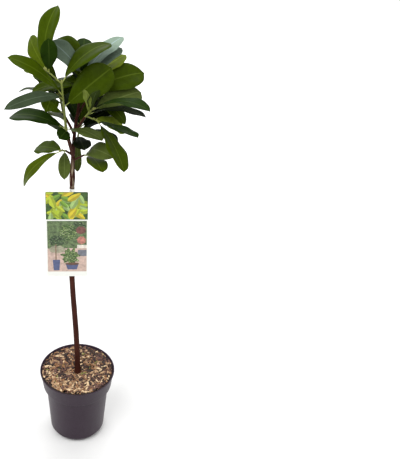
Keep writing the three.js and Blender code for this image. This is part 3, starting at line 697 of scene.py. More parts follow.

# %% [markdown]
# The crown is airy, with every leaf on its own stalk. Scattering copies of one leaf at random would let them
# cross. So the crown follows one rule. Each mass has a twig that grows on from a bough, and leaves along it.
# A leaf that shows in front has a row of its own: place on the twig, heading, rise, length, width, roll, bow
# and tone. The others are grown: two turns of the spiral for five leaves, with a scatter from seeded dice,
# and only where there is room. A leaf that would leave the crown or meet another is tried again, a little
# further round and a little shorter.

# %% The masses
# Rows may take tones that paint light: the grey-green and bluish tones paint a sheen, and the near-black tone
# paints deep shade.
MASSES = {
    "leaves_left": dict(
        limb="bough_left",
        stem=dict(heading=234, rise=83, length=112, radii=(2.8, 1.6)),
        rows=[
            (0.03, 154, -2, 128, 50, -5, 55, "deep"),
            (0.08, 124, -18, 84, 36, 65, 10, "deep"),
            (0.02, 258, 14, 62, 30, -35, 40, "deep"),
            (0.05, 316, 8, 96, 48, -10, 30, "sage"),
            (0.22, 114, -14, 80, 34, 15, 5, "olive"),
            (0.38, 124, -2, 66, 20, -75, 55, "mid"),
            (0.5, 26, 32, 124, 62, 50, 64, "moss"),
            (0.66, 220, 10, 148, 25, -35, 80, "slate"),
            (0.72, 196, 42, 138, 44, -20, 40, "mid"),
            (0.97, 36, 24, 130, 56, -5, 55, "moss"),
        ],
        side=dict(
            at=0.97,
            stem=dict(heading=160, rise=36, length=36, radii=(1.5, 1.3)),
            rows=[
                (0.85, 100, 92, 70, 32, 0, 30, "deep"),
                (0.98, 68, 62, 124, 58, -32, 50, "mid"),
                (0.93, 110, 14, 104, 36, -60, 20, "olive"),
            ],
        ),
    ),
    "leaves_top": dict(
        limb="stem",
        stem=dict(heading=53, rise=77, length=44, radii=(2.4, 1.7)),
        rows=[
            (0.12, 28, 5, 146, 58, 35, 40, "moss"),
            (0.45, 42, 14, 122, 44, 0, 10, "light"),
            (0.65, 40, 22, 112, 42, 6, 45, "steel"),
            (0.8, 44, 25, 124, 44, -4, 35, "silver"),
            (0.95, 126, 30, 96, 50, -20, 70, "moss"),
            (0.95, 162, 43, 88, 44, -25, 40, "steel"),
        ],
        grown=5,
        seed=289,
    ),
    "leaves_right": dict(
        limb="bough_right",
        stem=dict(heading=340, rise=54, length=22, radii=(2.2, 1.6)),
        rows=[
            (0.5, 258, 62, 78, 18, -20, 10, "light"),
            (0.7, 290, 60, 74, 26, 10, 15, "moss"),
            (0.8, 36, 2, 124, 54, 28, 30, "sage"),
            (0.9, 328, 16, 136, 52, -10, 60, "deep"),
            (0.3, 345, 6, 118, 44, -14, 50, "shade"),
        ],
        side=dict(
            at=0.1,
            stem=dict(heading=3, rise=-26, length=24, radii=(1.5, 1.3)),
            rows=[
                (0.5, 22, -32, 84, 34, 30, 40, "light"),
                (0.85, 312, 6, 114, 42, -15, 5, "deep"),
                (0.98, 294, -22, 128, 52, -30, 20, "mid"),
            ],
        ),
    ),
    "leaves_low_left": dict(
        limb="bough_low_left",
        stem=dict(heading=205, rise=15, length=8, radii=(1.9, 1.5)),
        rows=[
            (0.5, 138, -18, 80, 44, -16, 15, "mid"),
            (0.95, 176, -48, 122, 34, -20, 60, "olive"),
            (0.3, 270, -12, 82, 24, 0, 40, "sage"),
        ],
    ),
    "leaves_low_right": dict(
        limb="bough_low_right",
        stem=dict(heading=350, rise=5, length=10, radii=(1.7, 1.4)),
        rows=[
            (0.9, 298, 26, 118, 38, 35, 80, "sage"),
            (0.7, 286, 12, 102, 38, -5, 25, "olive"),
        ],
    ),
    "leaves_low_back": dict(
        limb="bough_low_back",
        stem=dict(heading=75, rise=45, length=26, radii=(1.9, 1.4)),
        rows=[
            (0.2, 278, 10, 82, 36, 0, 10, "shade"),
            (0.06, 262, -84, 76, 18, 0, 10, "sage"),
        ],
        grown=8,
        seed=127,
        # The near-black grown leaves here are painted shade inside the crown.
        grown_tones=["shade", "deep", "shade", "moss"],
    ),
    "leaves_back_left": dict(
        limb="bough_back_left",
        stem=dict(heading=120, rise=68, length=66, radii=(2.1, 1.4)),
        rows=[],
        side=dict(at=0.3, stem=dict(heading=150, rise=8, length=34, radii=(1.5, 1.3)), rows=[]),
        grown=12,
        seed=164,
    ),
    "leaves_back_right": dict(
        limb="bough_back_right",
        stem=dict(heading=76, rise=24, length=50, radii=(2.1, 1.4)),
        rows=[],
        side=dict(at=0.2, stem=dict(heading=20, rise=2, length=30, radii=(1.5, 1.3)), rows=[]),
        grown=12,
        seed=134,
    ),
}
GROWN_TONES = ["deep", "moss", "mid", "olive", "deep"]
print("masses:", len(MASSES))

# %% [markdown]
# A laurel leaf is widest well past its middle and ends in a blunt point. Its outline could be drawn by hand
# as a flat curve, but one formula fits every size: half the width is sin(pi u^1.42)^0.54, and a high power
# of u closes it to the point. The blade is folded up along its midrib like a shallow valley.

# %% The outline of a leaf
STALK_SHARE = 0.11
STALK_RADIUS = 0.9
WIDEST_POWER = 1.42
FULLNESS_POWER = 0.54
TIP_POWER = 34
TIP_SIZE = 0.3
LEAF_FOLD = math.radians(16)


def blade_half_width(share, width):
    """Half the blade's width at a share of the blade."""
    full = np.maximum(np.sin(np.pi * share**WIDEST_POWER), 0) ** FULLNESS_POWER
    return width / 2 * full * (1 - share**TIP_POWER) + STALK_RADIUS * (1 - share)


def leaf_points(leaf, share, side):
    """The plain surface of a leaf: its arc, plus the half width to the side, plus the fold's lift."""
    share = np.asarray(share, float)
    rib, left, face = arc(leaf, share)
    blade = np.clip((share - STALK_SHARE) / (1 - STALK_SHARE), 0, 1)
    half = np.maximum(blade_half_width(blade, leaf["width"]), TIP_SIZE)
    half = np.where(share > STALK_SHARE, half, STALK_RADIUS)
    fold = np.where(share > STALK_SHARE, LEAF_FOLD, 0)
    out = half[:, None] * np.asarray(side, float)[None, :]
    flat = out * np.cos(fold)[:, None]
    lift = np.abs(out) * np.sin(fold)[:, None]
    return rib[:, None, :] + flat[..., None] * left + lift[..., None] * face[:, None, :]


print("a leaf 50 mm wide is", round(2 * float(blade_half_width(0.6, 50)), 1), "mm wide at 0.6 of its blade")

# %% The rule
SPIRAL_STEP = 144
GROWN_TRIES = 30
TRY_STEP = 25
GROWN_FROM = 0.3
GROWN_SHORTER = 0.011
GROWN_RISE = (-12, 52)
GROWN_LENGTH = 108
GROWN_WIDTH_SHARE = 0.4
GROWN_BOW = 42
LEAF_SIZES = ("heading", "rise", "length", "width", "roll", "bow", "tone")
SCATTER = dict(length=14, heading=18, rise=20, width=3, roll=25, bow=20)
ROOM_BETWEEN_LEAVES = 5.5
ROOM_ROUND_LIMBS = 2.5
ROOM_SHARES = np.arange(1, 15) / 14
ROOM_SIDES = np.array([-1, -0.67, -0.33, 0, 0.33, 0.67, 1])
LIMB_ROOM_ROWS = 13
STEM_ROOM_ROWS = 33
STEM_ROOM_FROM = 0.6
CROWDED_SHARE = 0.3
CROWN_MIDDLE = np.array([2, 30, 865])
CROWN_REACH = np.array([130, 135, 130])
print("places watched on each leaf:", len(ROOM_SHARES) * len(ROOM_SIDES))


class Dice:
    """Numbers between 0 and 1 in a fixed order: the state times 48271, modulo 2^31 - 1."""

    def __init__(self, seed):
        """The seed is the first state."""
        self.state = seed

    def roll(self):
        """The next number."""
        self.state = self.state * 48271 % 2147483647
        return self.state / 2147483647

    def scatter(self, size):
        """The next number, spread evenly from minus the size to the size."""
        return (2 * self.roll() - 1) * size


def grown_leaf(dice, twig, share, start, number, attempt):
    """The leaf that the spiral puts at a share of a twig. Each further attempt turns on and is shorter."""
    at = GROWN_FROM + (1 - GROWN_FROM) * share
    low, high = GROWN_RISE
    length = (GROWN_LENGTH + dice.scatter(SCATTER["length"])) * (1 - GROWN_SHORTER * attempt)
    heading = start + SPIRAL_STEP * number + TRY_STEP * attempt + dice.scatter(SCATTER["heading"])
    rise = low + (high - low) * share + dice.scatter(SCATTER["rise"])
    width = length * GROWN_WIDTH_SHARE + dice.scatter(SCATTER["width"])
    roll = dice.scatter(SCATTER["roll"])
    bow = GROWN_BOW + dice.scatter(SCATTER["bow"])
    return row_leaf(twig, (at, heading, rise, length, width, roll, bow))


def row_leaf(twig, row):
    """A leaf on its twig, from its place there and its other sizes. A row of its own also gives its tone."""
    at, *sizes = row
    return dict(zip(LEAF_SIZES, sizes), start=arc(twig, at)[0][0])


def limb_room(limb, mass=-1):
    """Places along a limb with its radius there and the number of the mass it belongs to."""
    share = np.linspace(0, 1, LIMB_ROOM_ROWS)
    foot, tip = limb["radii"]
    return np.column_stack([arc(limb, share)[0], foot + (tip - foot) * share, np.full(LIMB_ROOM_ROWS, mass)])


def leaf_room(leaf, mass):
    """Places on a leaf, each with its share of the length and the number of the leaf's mass."""
    points = leaf_points(leaf, ROOM_SHARES, ROOM_SIDES).reshape(-1, 3)
    share = np.repeat(ROOM_SHARES, len(ROOM_SIDES))
    return np.column_stack([points, share, np.full(len(points), mass)])


def has_room(room, taken, limbs):
    """Inside the crown, clear of the limbs and twigs of others, and clear of the leaves already there."""
    points = room[:, :3]
    if (np.linalg.norm((points - CROWN_MIDDLE) / CROWN_REACH, axis=1) >= 1).any():
        return False
    mass = room[0, 4]
    others = limbs[limbs[:, 4] != mass]
    apart = np.linalg.norm(points[:, None] - others[None, :, :3], axis=2)
    if (apart < others[None, :, 3] + ROOM_ROUND_LIMBS).any():
        return False
    apart = np.linalg.norm(points[:, None] - taken[None, :, :3], axis=2)
    crowded = (taken[None, :, 4] == mass) & (np.minimum(room[:, None, 3], taken[None, :, 3]) < CROWDED_SHARE)
    return not ((apart < ROOM_BETWEEN_LEAVES) & ~crowded).any()


# %% Grow the crown
def mass_twigs(mass, tips):
    """The stem of a mass from its limb's tip, and its side twig if it has one, each with its rows."""
    stem = dict(mass["stem"], start=tips[mass["limb"]])
    twigs = [(stem, mass["rows"])]
    if "side" in mass:
        side = mass["side"]
        twigs.append((dict(side["stem"], start=arc(stem, side["at"])[0][0]), side["rows"]))
    return twigs


def stem_room():
    """Places along the upper part of the stem, as limb_room gives them for a bough."""
    rows = np.arange(STEM_ROOM_ROWS) / (STEM_ROOM_ROWS - 1)
    places = stem_curve(STEM_ROOM_FROM + (1 - STEM_ROOM_FROM) * rows)
    return np.column_stack([places, stem_radius(places[:, 2]), np.full(STEM_ROOM_ROWS, -1)])


def grow_crown():
    """Every mass with its twigs and leaves: first the leaves with rows, then the grown ones."""
    tips = {name: arc(bough, 1)[0][0] for name, bough in BOUGHS.items()}
    tips["stem"] = STEM_AXIS[-1]
    crown = []
    for number, (name, mass) in enumerate(MASSES.items()):
        twigs = mass_twigs(mass, tips)
        leaves = [row_leaf(twig, row) for twig, rows in twigs for row in rows]
        stems = [twig for twig, _ in twigs]
        crown.append(dict(name=name, mass=mass, number=number, twigs=stems, leaves=leaves))
    taken = np.concatenate([leaf_room(leaf, m["number"]) for m in crown for leaf in m["leaves"]])
    bough_room = [limb_room(bough) for bough in BOUGHS.values()]
    twig_room = [limb_room(twig, m["number"]) for m in crown for twig in m["twigs"]]
    limbs = np.concatenate([stem_room(), *bough_room, *twig_room])
    for m in crown:
        count = m["mass"].get("grown", 0)
        tones = m["mass"].get("grown_tones", GROWN_TONES)
        dice = Dice(m["mass"].get("seed", 1))
        start = 360 * dice.roll()
        for number in range(count):
            twig = m["twigs"][number % len(m["twigs"])]
            for attempt in range(GROWN_TRIES):
                leaf = grown_leaf(dice, twig, number / count, start, number, attempt)
                room = leaf_room(leaf, m["number"])
                if has_room(room, taken, limbs):
                    leaf["tone"] = tones[number % len(tones)]
                    m["leaves"].append(leaf)
                    taken = np.concatenate([taken, room])
                    break
    return crown


crown = grow_crown()
print("crown:", {m["name"]: len(m["leaves"]) for m in crown}, "leaves")

# %% [markdown]
# Laurel leaves are thick and leathery, with a glossy upper side, a pale midrib, and a dull paler underside.
# Flat cards cut out with a picture of a leaf would do for a far tree, but here many leaves are seen edge on.
# Each leaf is a closed lens of fine sections, so light can't leak through it. Its two sides take two
# materials. The tones differ from leaf to leaf, as young and old leaves do, and each tone gives a material
# for each side. Some tones paint light over the leaf's own green: pale grey-green ones paint a sheen, and a
# near-black one paints deep shade inside the crown.
# The veins follow the blade, so their pattern reads the blade's own UV map: u along it and v across it.

# %% Finishes of the leaves
# Four tones paint light over the leaf's own green: the two palest grey-green ones paint the sheen of leaves
# that mirror the bright surround, slate paints a fainter bluish sheen on dark green, and shade paints the
# near black of leaves deep in shade.
UPPER_TONES = {
    "deep": (0.011, 0.026, 0.002),
    "moss": (0.028, 0.046, 0.001),
    "mid": (0.034, 0.056, 0.001),
    "olive": (0.050, 0.074, 0.002),
    "sage": (0.056, 0.076, 0.016),
    "light": (0.120, 0.160, 0.012),
    "silver": (0.190, 0.255, 0.200),
    "steel": (0.075, 0.105, 0.074),
    "slate": (0.034, 0.050, 0.026),
    "shade": (0.005, 0.009, 0.002),
}
# The undersides of the sheen and shade tones carry the same painted sheen and painted shade.
UNDER_TONES = {
    "deep": (0.022, 0.036, 0.008),
    "moss": (0.040, 0.062, 0.012),
    "mid": (0.046, 0.072, 0.014),
    "olive": (0.078, 0.106, 0.016),
    "sage": (0.074, 0.098, 0.030),
    "light": (0.140, 0.180, 0.030),
    "silver": (0.210, 0.260, 0.200),
    "steel": (0.090, 0.120, 0.088),
    "slate": (0.046, 0.064, 0.034),
    "shade": (0.008, 0.012, 0.003),
}
SIDE_VEINS = 9
VEIN_SLANT = 3.6
VEIN_RELIEF = 0.35


def vein_masks(tree):
    """Two masks from the blade's UV map: the midrib along v = 0.5, and side veins that slant to the tip."""
    place = add_node(tree, "ShaderNodeUVMap", uv_map="blade").outputs["UV"]
    split = add_node(tree, "ShaderNodeSeparateXYZ", {0: place}).outputs
    off_rib = math_node(tree, "ABSOLUTE", math_node(tree, "SUBTRACT", split["Y"], 0.5))
    along = math_node(tree, "MULTIPLY", split["X"], SIDE_VEINS)
    slant = math_node(tree, "MULTIPLY", off_rib, VEIN_SLANT)
    wave = math_node(tree, "PINGPONG", math_node(tree, "SUBTRACT", along, slant), 0.5)
    return fade(tree, off_rib, 0.008, 0.034, 1.0, 0.0), fade(tree, wave, 0.0, 0.09, 1.0, 0.0)


def leaf_finish(name, colour, rib_colour, roughness, vein_share, **sockets):
    """Blotched colour, lighter along the midrib and faintly lighter on the side veins, which also stand
    in relief."""
    material = blotched(plain(name, colour, roughness, **sockets), 55.0, 0.22)
    tree = material.node_tree
    rib, side = vein_masks(tree)
    veins = math_node(tree, "MAXIMUM", rib, math_node(tree, "MULTIPLY", side, vein_share))
    lay_over(material, rib_colour, veins)
    values = {"Strength": 0.6, "Distance": VEIN_RELIEF * MM, "Height": veins}
    feed(tree, add_node(tree, "ShaderNodeBump", values).outputs["Normal"], "Normal")
    return material


leaf_materials = []
slot_of = {}
for tone, colour in UPPER_TONES.items():
    slot_of[tone] = len(leaf_materials)
    red, green, blue = colour
    rib = (1.5 * red + 0.015, 1.5 * green + 0.015, 2 * blue + 0.004)
    leaf_materials.append(leaf_finish(tone + " leaf, upper side", colour, rib, 0.36, 0.10, IOR=1.08))
    under = UNDER_TONES[tone]
    rib = tuple(1.5 * c + 0.03 for c in under)
    leaf_materials.append(leaf_finish(tone + " leaf, underside", under, rib, 0.6, 0.15, IOR=1.1))
print("leaf finishes:", len(leaf_materials))

# %% The fine leaf
LEAF_ROWS = 44
LEAF_SIDES = 13
BLADE_FROM = STALK_SHARE * 0.9
THICKNESS = 0.55
RIB_THICKNESS = 1.1
RIB_REACH = 1.3
WAVE = 1.3
ROLL_BACK = 0.16
SOFTENING = 0.10
SOFTENING_REACH = 0.22


def fine_leaf(leaf, number):
    """The plain surface, doubled to an upper and a lower sheet that meet at the margin. The upper sheet is
    lifted by wave * sine along the margin, lowered by roll back * half width * side^5, and softened in the
    fold by a bump exp(-(side / reach)^2). The lower sheet bulges along the midrib."""
    t = np.linspace(0, 1, LEAF_ROWS)
    share = BLADE_FROM + (1 - BLADE_FROM) * t
    side = np.sin(np.linspace(-np.pi / 2, np.pi / 2, LEAF_SIDES))
    surface = leaf_points(leaf, share, side)
    _, _, face = arc(leaf, share)
    half = np.linalg.norm(surface[:, -1] - surface[:, 0], axis=1)[:, None] / 2
    dice = np.random.default_rng(1000 + number)
    phase = dice.uniform(0, 2 * np.pi, 2)
    waves = dice.uniform(1.6, 2.9)
    edge = np.abs(side)[None, :] ** 2.2
    ripple = np.sin(2 * np.pi * waves * t[:, None] + phase[0] + (side[None, :] > 0) * phase[1])
    lift = WAVE * ripple * edge * np.sin(np.pi * t)[:, None] ** 0.5
    roll_back = -ROLL_BACK * half * np.abs(side)[None, :] ** 5
    soften = SOFTENING * half * np.exp(-((side[None, :] / SOFTENING_REACH) ** 2))
    upper = surface + (lift + roll_back + soften)[..., None] * face[:, None, :]
    ridge = RIB_THICKNESS * np.exp(-((side[None, :] * half / RIB_REACH) ** 2))
    thick = THICKNESS * (1 - np.abs(side)[None, :] ** 6) + ridge
    thinner_to_tip = np.clip(1.15 - t, 0.15, 1)[:, None]
    thick = thick * thinner_to_tip
    lower = upper - thick[..., None] * face[:, None, :]
    ring = np.concatenate([upper, lower[:, -2:0:-1]], axis=1)
    columns = ring.shape[1]
    quads = band_faces(LEAF_ROWS, columns)[:, ::-1]
    column = np.tile(np.arange(columns), LEAF_ROWS - 1)
    is_under = (column >= LEAF_SIDES - 1).astype(int)
    across = np.concatenate([(side + 1) / 2, (side[-2:0:-1] + 1) / 2])
    uv = np.stack(np.broadcast_arrays(t[:, None], across[None, :]), -1).reshape(-1, 2)
    return ring.reshape(-1, 3), quads, is_under, uv


def make_leaves(m):
    """All leaves of one mass in one mesh."""
    points, faces, slots, uvs, first = [], [], [], [], 0
    for number, leaf in enumerate(m["leaves"]):
        ring, quads, is_under, uv = fine_leaf(leaf, 100 * m["number"] + number)
        points.append(ring)
        faces.append(quads + first)
        slots.append(slot_of[leaf["tone"]] + is_under)
        uvs.append(uv)
        first += len(ring)
    columns = 2 * LEAF_SIDES - 2
    starts = np.arange(len(points)) * LEAF_ROWS * columns
    feet = starts[:, None] + np.arange(columns)
    tips = starts[:, None] + (LEAF_ROWS - 1) * columns + np.arange(columns)[::-1]
    caps = np.concatenate([feet, tips])
    slots.append(np.zeros(len(caps), int))
    piece = put_mesh(
        m["name"] + "_blades",
        np.concatenate(points),
        [np.concatenate(faces), caps],
        leaf_materials,
        np.concatenate(slots),
        np.concatenate(uvs),
        crease=70,
    )
    ride(piece, "leaves", m["name"])
    return piece


leaf_pieces = [make_leaves(m) for m in crown]
print("leaves:", sum(len(p.data.polygons) for p in leaf_pieces), "faces")

# %% [markdown]
# A twig is a thin limb with a small swelling every few centimetres. A stalk is a round tube that follows its
# leaf's arc and thins out under the blade. A bud sits at the end of each twig and in the corner above each
# stalk: a short pointed body of revolution. Curves with a bevel would do for all three, but a radius that
# changes along the way is simpler as an array, and each kind becomes one mesh.

# %% Finishes of the twigs
twig_green = plain("green twig", (0.16, 0.19, 0.035), 0.5, Specular_IOR_Level=0.4)
blotched(twig_green, 120.0, 0.3, bump=0.15, bump_scale=600.0)
stalk_green = plain("pale stalk", (0.26, 0.30, 0.06), 0.45, Specular_IOR_Level=0.45)
blotched(stalk_green, 150.0, 0.2)
bud_green = plain("bud scales", (0.24, 0.25, 0.06), 0.5)
blotched(bud_green, 300.0, 0.35)
print("twig finishes:", ", ".join(finish.name for finish in (twig_green, stalk_green, bud_green)))


def tube(centres, radii, sides):
    """Rings round a path, each square to the path there: across = way x guide, and over = way x across."""
    way = np.gradient(centres, axis=0)
    way /= np.linalg.norm(way, axis=1, keepdims=True)
    guide = np.array([0.31, 0.17, 0.94]) if abs(way[0][2]) < 0.8 else np.array([0.96, 0.22, 0.1])
    across = np.cross(way, guide)
    across /= np.linalg.norm(across, axis=1, keepdims=True)
    over = np.cross(way, across)
    angle = 2 * np.pi * np.arange(sides) / sides
    ring = np.cos(angle)[None, :, None] * across[:, None] + np.sin(angle)[None, :, None] * over[:, None]
    return (centres[:, None] + np.asarray(radii)[:, None, None] * ring).reshape(-1, 3)


def join_tubes(name, tubes, sides, material, slot):
    """Many tubes of the same number of sides in one mesh, each closed at both ends."""
    points, quads, lids, first = [], [], [], 0
    for centres, radii in tubes:
        points.append(tube(centres, radii, sides))
        quads.append(band_faces(len(centres), sides) + first)
        lids.append(lid(first, sides, turned=True))
        lids.append(lid(first + (len(centres) - 1) * sides, sides))
        first += len(centres) * sides
    piece = put_mesh(name, np.concatenate(points), [np.concatenate(quads), np.concatenate(lids)], [material])
    ride(piece, slot)
    return piece


# %% Make the twigs, stalks and buds
NODE_SWELL = 0.22
NODE_STEP = 7.0
STALK_END = STALK_SHARE * 1.35
STALK_DROP = 0.25
TWIG_SIDES = 14
STALK_SIDES = 10
BUD_SIDES = 8

# Each kind of bud: its length and its greatest radius.
TIP_BUD = (9.0, 1.9)
SIDE_BUD = (5.0, 1.1)


def twig_tube(twig):
    """Radius: a straight taper, plus swell times max(0, sine(distance / step))^6."""
    share = np.linspace(0, 1, 26)
    foot, tip = twig["radii"]
    nodes = NODE_SWELL * np.maximum(0, np.sin(share * twig["length"] / NODE_STEP)) ** 6
    return arc(twig, share)[0], foot + (tip - foot) * share + nodes


def stalk_tube(leaf):
    """The leaf's own arc from the twig to a little way under the blade, thick at the foot and thin there."""
    share = np.linspace(0, STALK_END, 9)
    taper = np.interp(share, [0, 0.02, STALK_SHARE, STALK_END], [1.5, 1.15, 1.0, 0.55])
    centres, _, face = arc(leaf, share)
    return centres - STALK_DROP * face, STALK_RADIUS * taper


def bud_tube(start, way, length, radius):
    """Radius over length: sin(pi (0.16 + 0.83 t))^0.8, a plump foot and a point."""
    t = np.linspace(0, 1, 9)
    way = np.asarray(way, float) / np.linalg.norm(way)
    return np.asarray(start) + t[:, None] * length * way, radius * np.sin(np.pi * (0.16 + 0.83 * t)) ** 0.8


def leaf_bud(leaf):
    """A small bud just above a stalk's foot, which points between the stalk and the leaf's upper side."""
    along, _, face = bearings(leaf)
    return bud_tube(np.asarray(leaf["start"]) + 1.2 * along + 0.6 * face, along + 1.3 * face, *SIDE_BUD)


every_twig = [twig for m in crown for twig in m["twigs"]]
every_leaf = [leaf for m in crown for leaf in m["leaves"]]
twigs = join_tubes("twigs", [twig_tube(twig) for twig in every_twig], TWIG_SIDES, twig_green, "bough")
stalk_tubes = [stalk_tube(leaf) for leaf in every_leaf]
stalks = join_tubes("leaf_stalks", stalk_tubes, STALK_SIDES, stalk_green, "leaves")
tip_buds = [bud_tube(arc(twig, 0.97)[0][0], bearings(twig)[0], *TIP_BUD) for twig in every_twig]
side_buds = [leaf_bud(leaf) for leaf in every_leaf]
buds = join_tubes("buds", tip_buds + side_buds, BUD_SIDES, bud_green, "leaves")
print("twigs, stalks and buds:", sum(len(p.data.polygons) for p in (twigs, stalks, buds)), "faces")

# %% [markdown]
# The picture tag is a thin card with rounded corners, held to the stem by a collar. Its front has a white
# border, a picture of bright leaves above, and a garden with a path and tubs below. An image could be mapped
# onto the card, but simple flat shapes read as well at this size. Each shape is a very thin plate laid on
# the card, a little nearer than the one before, and the printed leaves have the outline of the real ones.

# %% Sizes of the tag
CARD_LOW, CARD_HIGH = (np.array(corner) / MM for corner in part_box("tag_card"))
CARD_WIDTH = CARD_HIGH[0] - CARD_LOW[0]
CARD_TOP = 686.5
CARD_CORNER = 3
FRONT = CARD_LOW[1]
BACK = CARD_HIGH[1]
TAB = (-10.5, -4.5)
STRAP_WALL = 0.85
STRAP_ROUNDING = 0.2
STRAP_SIDES = 48
print("the card is", round(CARD_WIDTH), "by", round(CARD_TOP - CARD_LOW[2]), "mm")

# %% Make the card and its collar
card_white = plain("card", (0.78, 0.79, 0.74), 0.38)
collar_white = plain("white strap", (0.72, 0.73, 0.70), 0.4)


def card_outline():
    """The front's outline anticlockwise: a rectangle with round corners and the tab on top."""
    low, high = CARD_LOW[0], CARD_HIGH[0]
    foot, top, r = CARD_LOW[2], CARD_TOP, CARD_CORNER
    turn = np.linspace(0, np.pi / 2, 7)
    middles = [
        (high - r, foot + r, -np.pi / 2),
        (high - r, top - r, 0),
        (low + r, top - r, np.pi / 2),
        (low + r, foot + r, np.pi),
    ]
    arcs = [np.stack([x + r * np.cos(a + turn), z + r * np.sin(a + turn)], -1) for x, z, a in middles]
    tab = np.array([(TAB[1], top), (TAB[1], CARD_HIGH[2]), (TAB[0], CARD_HIGH[2]), (TAB[0], top)])
    return np.concatenate([arcs[0], arcs[1], tab, arcs[2], arcs[3]])


def slab(outline, front, back):
    """An outline in X and Z as a closed plate between two values of Y."""
    count = len(outline)
    near = np.stack([outline[:, 0], np.full(count, front), outline[:, 1]], -1)
    far = near + (0, back - front, 0)
    points = np.concatenate([near, far])
    return points, [band_faces(2, count)[:, ::-1], lid(0, count), lid(count, count, turned=True)]


def make_card():
    """The card and its tab: one plate."""
    points, faces = slab(card_outline(), FRONT, BACK)
    card = put_mesh("picture_card", points, faces, [card_white], crease=30)
    ride(card, "card", "tag_card")
    return card


def make_strap():
    """The collar round the stem: a rounded rectangle turned about the middle of the collar's box."""
    low, high = (np.array(corner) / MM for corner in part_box("tag_collar"))
    middle = (low + high) / 2
    outer = (high[0] - low[0]) / 2
    inner = outer - STRAP_WALL
    half = (high[2] - low[2]) / 2
    corners = [(outer, -half), (outer, half), (inner, half), (inner, -half), (outer, -half)]
    profile = rounded(corners, STRAP_ROUNDING, 3)
    ring = turned(profile, STRAP_SIDES) + middle
    strap = put_mesh("strap", ring, [band_faces(len(profile), STRAP_SIDES)], [collar_white], crease=40)
    ride(strap, "collar", "tag_collar")
    return strap


card = make_card()
strap = make_strap()
print("tag:", len(card.data.polygons) + len(strap.data.polygons), "faces")

# %% Shapes of the prints
# Places on the card are shares of its width and height from the lower left corner.
FOOT_STRIP = 0.060
GARDEN_TOP = 0.668
GARDEN_EDGE = 0.031
GARDEN_RIGHT = 1 - GARDEN_EDGE
PAVING_TOP = 0.345
FOLIAGE_FOOT = 0.684
PRINT_EDGE = 0.008
PRINT_CORNER = 2.6
LEAF_PRINTS = 46
LEAF_PRINT_LENGTHS = (20, 34)
LEAF_PRINT_WIDTH = 0.40
LEAF_PRINTS_LOW = (0.016, FOLIAGE_FOOT + 0.004)
LEAF_PRINTS_HIGH = (0.984, 0.993)
CARD_SIZE = np.array([CARD_WIDTH, CARD_TOP - CARD_LOW[2]])
CARD_FOOT = np.array([CARD_LOW[0], CARD_LOW[2]])

# Each tone is printed twice: bright on one half of a leaf, and shaded by a share on the other half.
LEAF_PRINT_TONES = [
    (0.62, 0.50, 0.02),
    (0.36, 0.46, 0.02),
    (0.17, 0.33, 0.03),
    (0.34, 0.50, 0.16),
    (0.45, 0.54, 0.03),
]
SHADED_SHARE = 0.62


def box_shape(low, high, taper=0.0):
    """A rectangle, its foot drawn in on each side by a share."""
    (a, b), (c, d) = low, high
    return np.array([(a + taper, b), (c - taper, b), (c, d), (a, d)])


def bush_shape(middle, reach, wave=0.07):
    """An oval whose reach swells and shrinks by two sines of the angle."""
    angle = np.linspace(0, 2 * np.pi, 48, endpoint=False)
    swell = 1 + wave * np.sin(7 * angle) + wave * np.sin(11 * angle + 1)
    around = np.stack([np.cos(angle), np.sin(angle)], -1)
    return np.array(middle) + np.array(reach) * swell[:, None] * around


def foliage_ground():
    """The upper picture's own outline: level below, with the card's round corners above."""
    wide, high = PRINT_CORNER / CARD_SIZE
    turn = np.linspace(0, np.pi / 2, 7)
    right, top = 1 - PRINT_EDGE, 1 - PRINT_EDGE / 2
    corner = np.stack([right - wide + wide * np.cos(turn), top - high + high * np.sin(turn)], -1)
    other = corner[::-1] * (-1, 1) + (1, 0)
    return np.concatenate([[(PRINT_EDGE, FOLIAGE_FOOT), (right, FOLIAGE_FOOT)], corner, other])


def cut(shape, axis, limit, sign):
    """What a line along one axis leaves of a convex outline, with the two points where it crosses."""
    depth = sign * (shape[:, axis] - limit)
    if (depth >= 0).all() or (depth < 0).all():
        return shape[depth >= 0]
    first = np.flatnonzero((depth >= 0) & (np.roll(depth, 1) < 0))[0]
    shape = np.roll(shape, -first, axis=0)
    depth = np.roll(depth, -first)
    count = (depth >= 0).sum()
    last, after = count - 1, count
    leave = shape[last] + depth[last] / (depth[last] - depth[after]) * (shape[after] - shape[last])
    enter = shape[0] + depth[0] / (depth[0] - depth[-1]) * (shape[-1] - shape[0])
    return np.concatenate([[enter], shape[:count], [leave]])


def leaf_halves():
    """Two halves of each printed leaf, each with its ink's name, sown by seeded dice and cut off at the
    picture's sides."""
    dice = np.random.default_rng(88)
    along = np.linspace(0, 1, 15)
    low = np.array(LEAF_PRINTS_LOW) * CARD_SIZE
    high = np.array(LEAF_PRINTS_HIGH) * CARD_SIZE
    halves = []
    for number in range(LEAF_PRINTS):
        length = dice.uniform(*LEAF_PRINT_LENGTHS)
        turn = dice.uniform(0, 2 * np.pi)
        way = np.array([np.cos(turn), np.sin(turn)])
        rib = dice.uniform(low, high) + (along[:, None] - 0.5) * length * way
        out = blade_half_width(along, LEAF_PRINT_WIDTH * length)[:, None] * np.array([-way[1], way[0]])
        for light, sign in (("bright", -1), ("shaded", 1)):
            shape = np.concatenate([rib, (rib + sign * out)[-2:0:-1]])[::sign]
            for axis in (0, 1):
                shape = cut(shape, axis, low[axis], 1)
                shape = cut(shape, axis, high[axis], -1)
            if len(shape) > 4:
                halves.append((f"{light} leaf print {number % len(LEAF_PRINT_TONES)}", shape / CARD_SIZE))
    return halves


printed_halves = leaf_halves()
print("halves of printed leaves:", len(printed_halves))

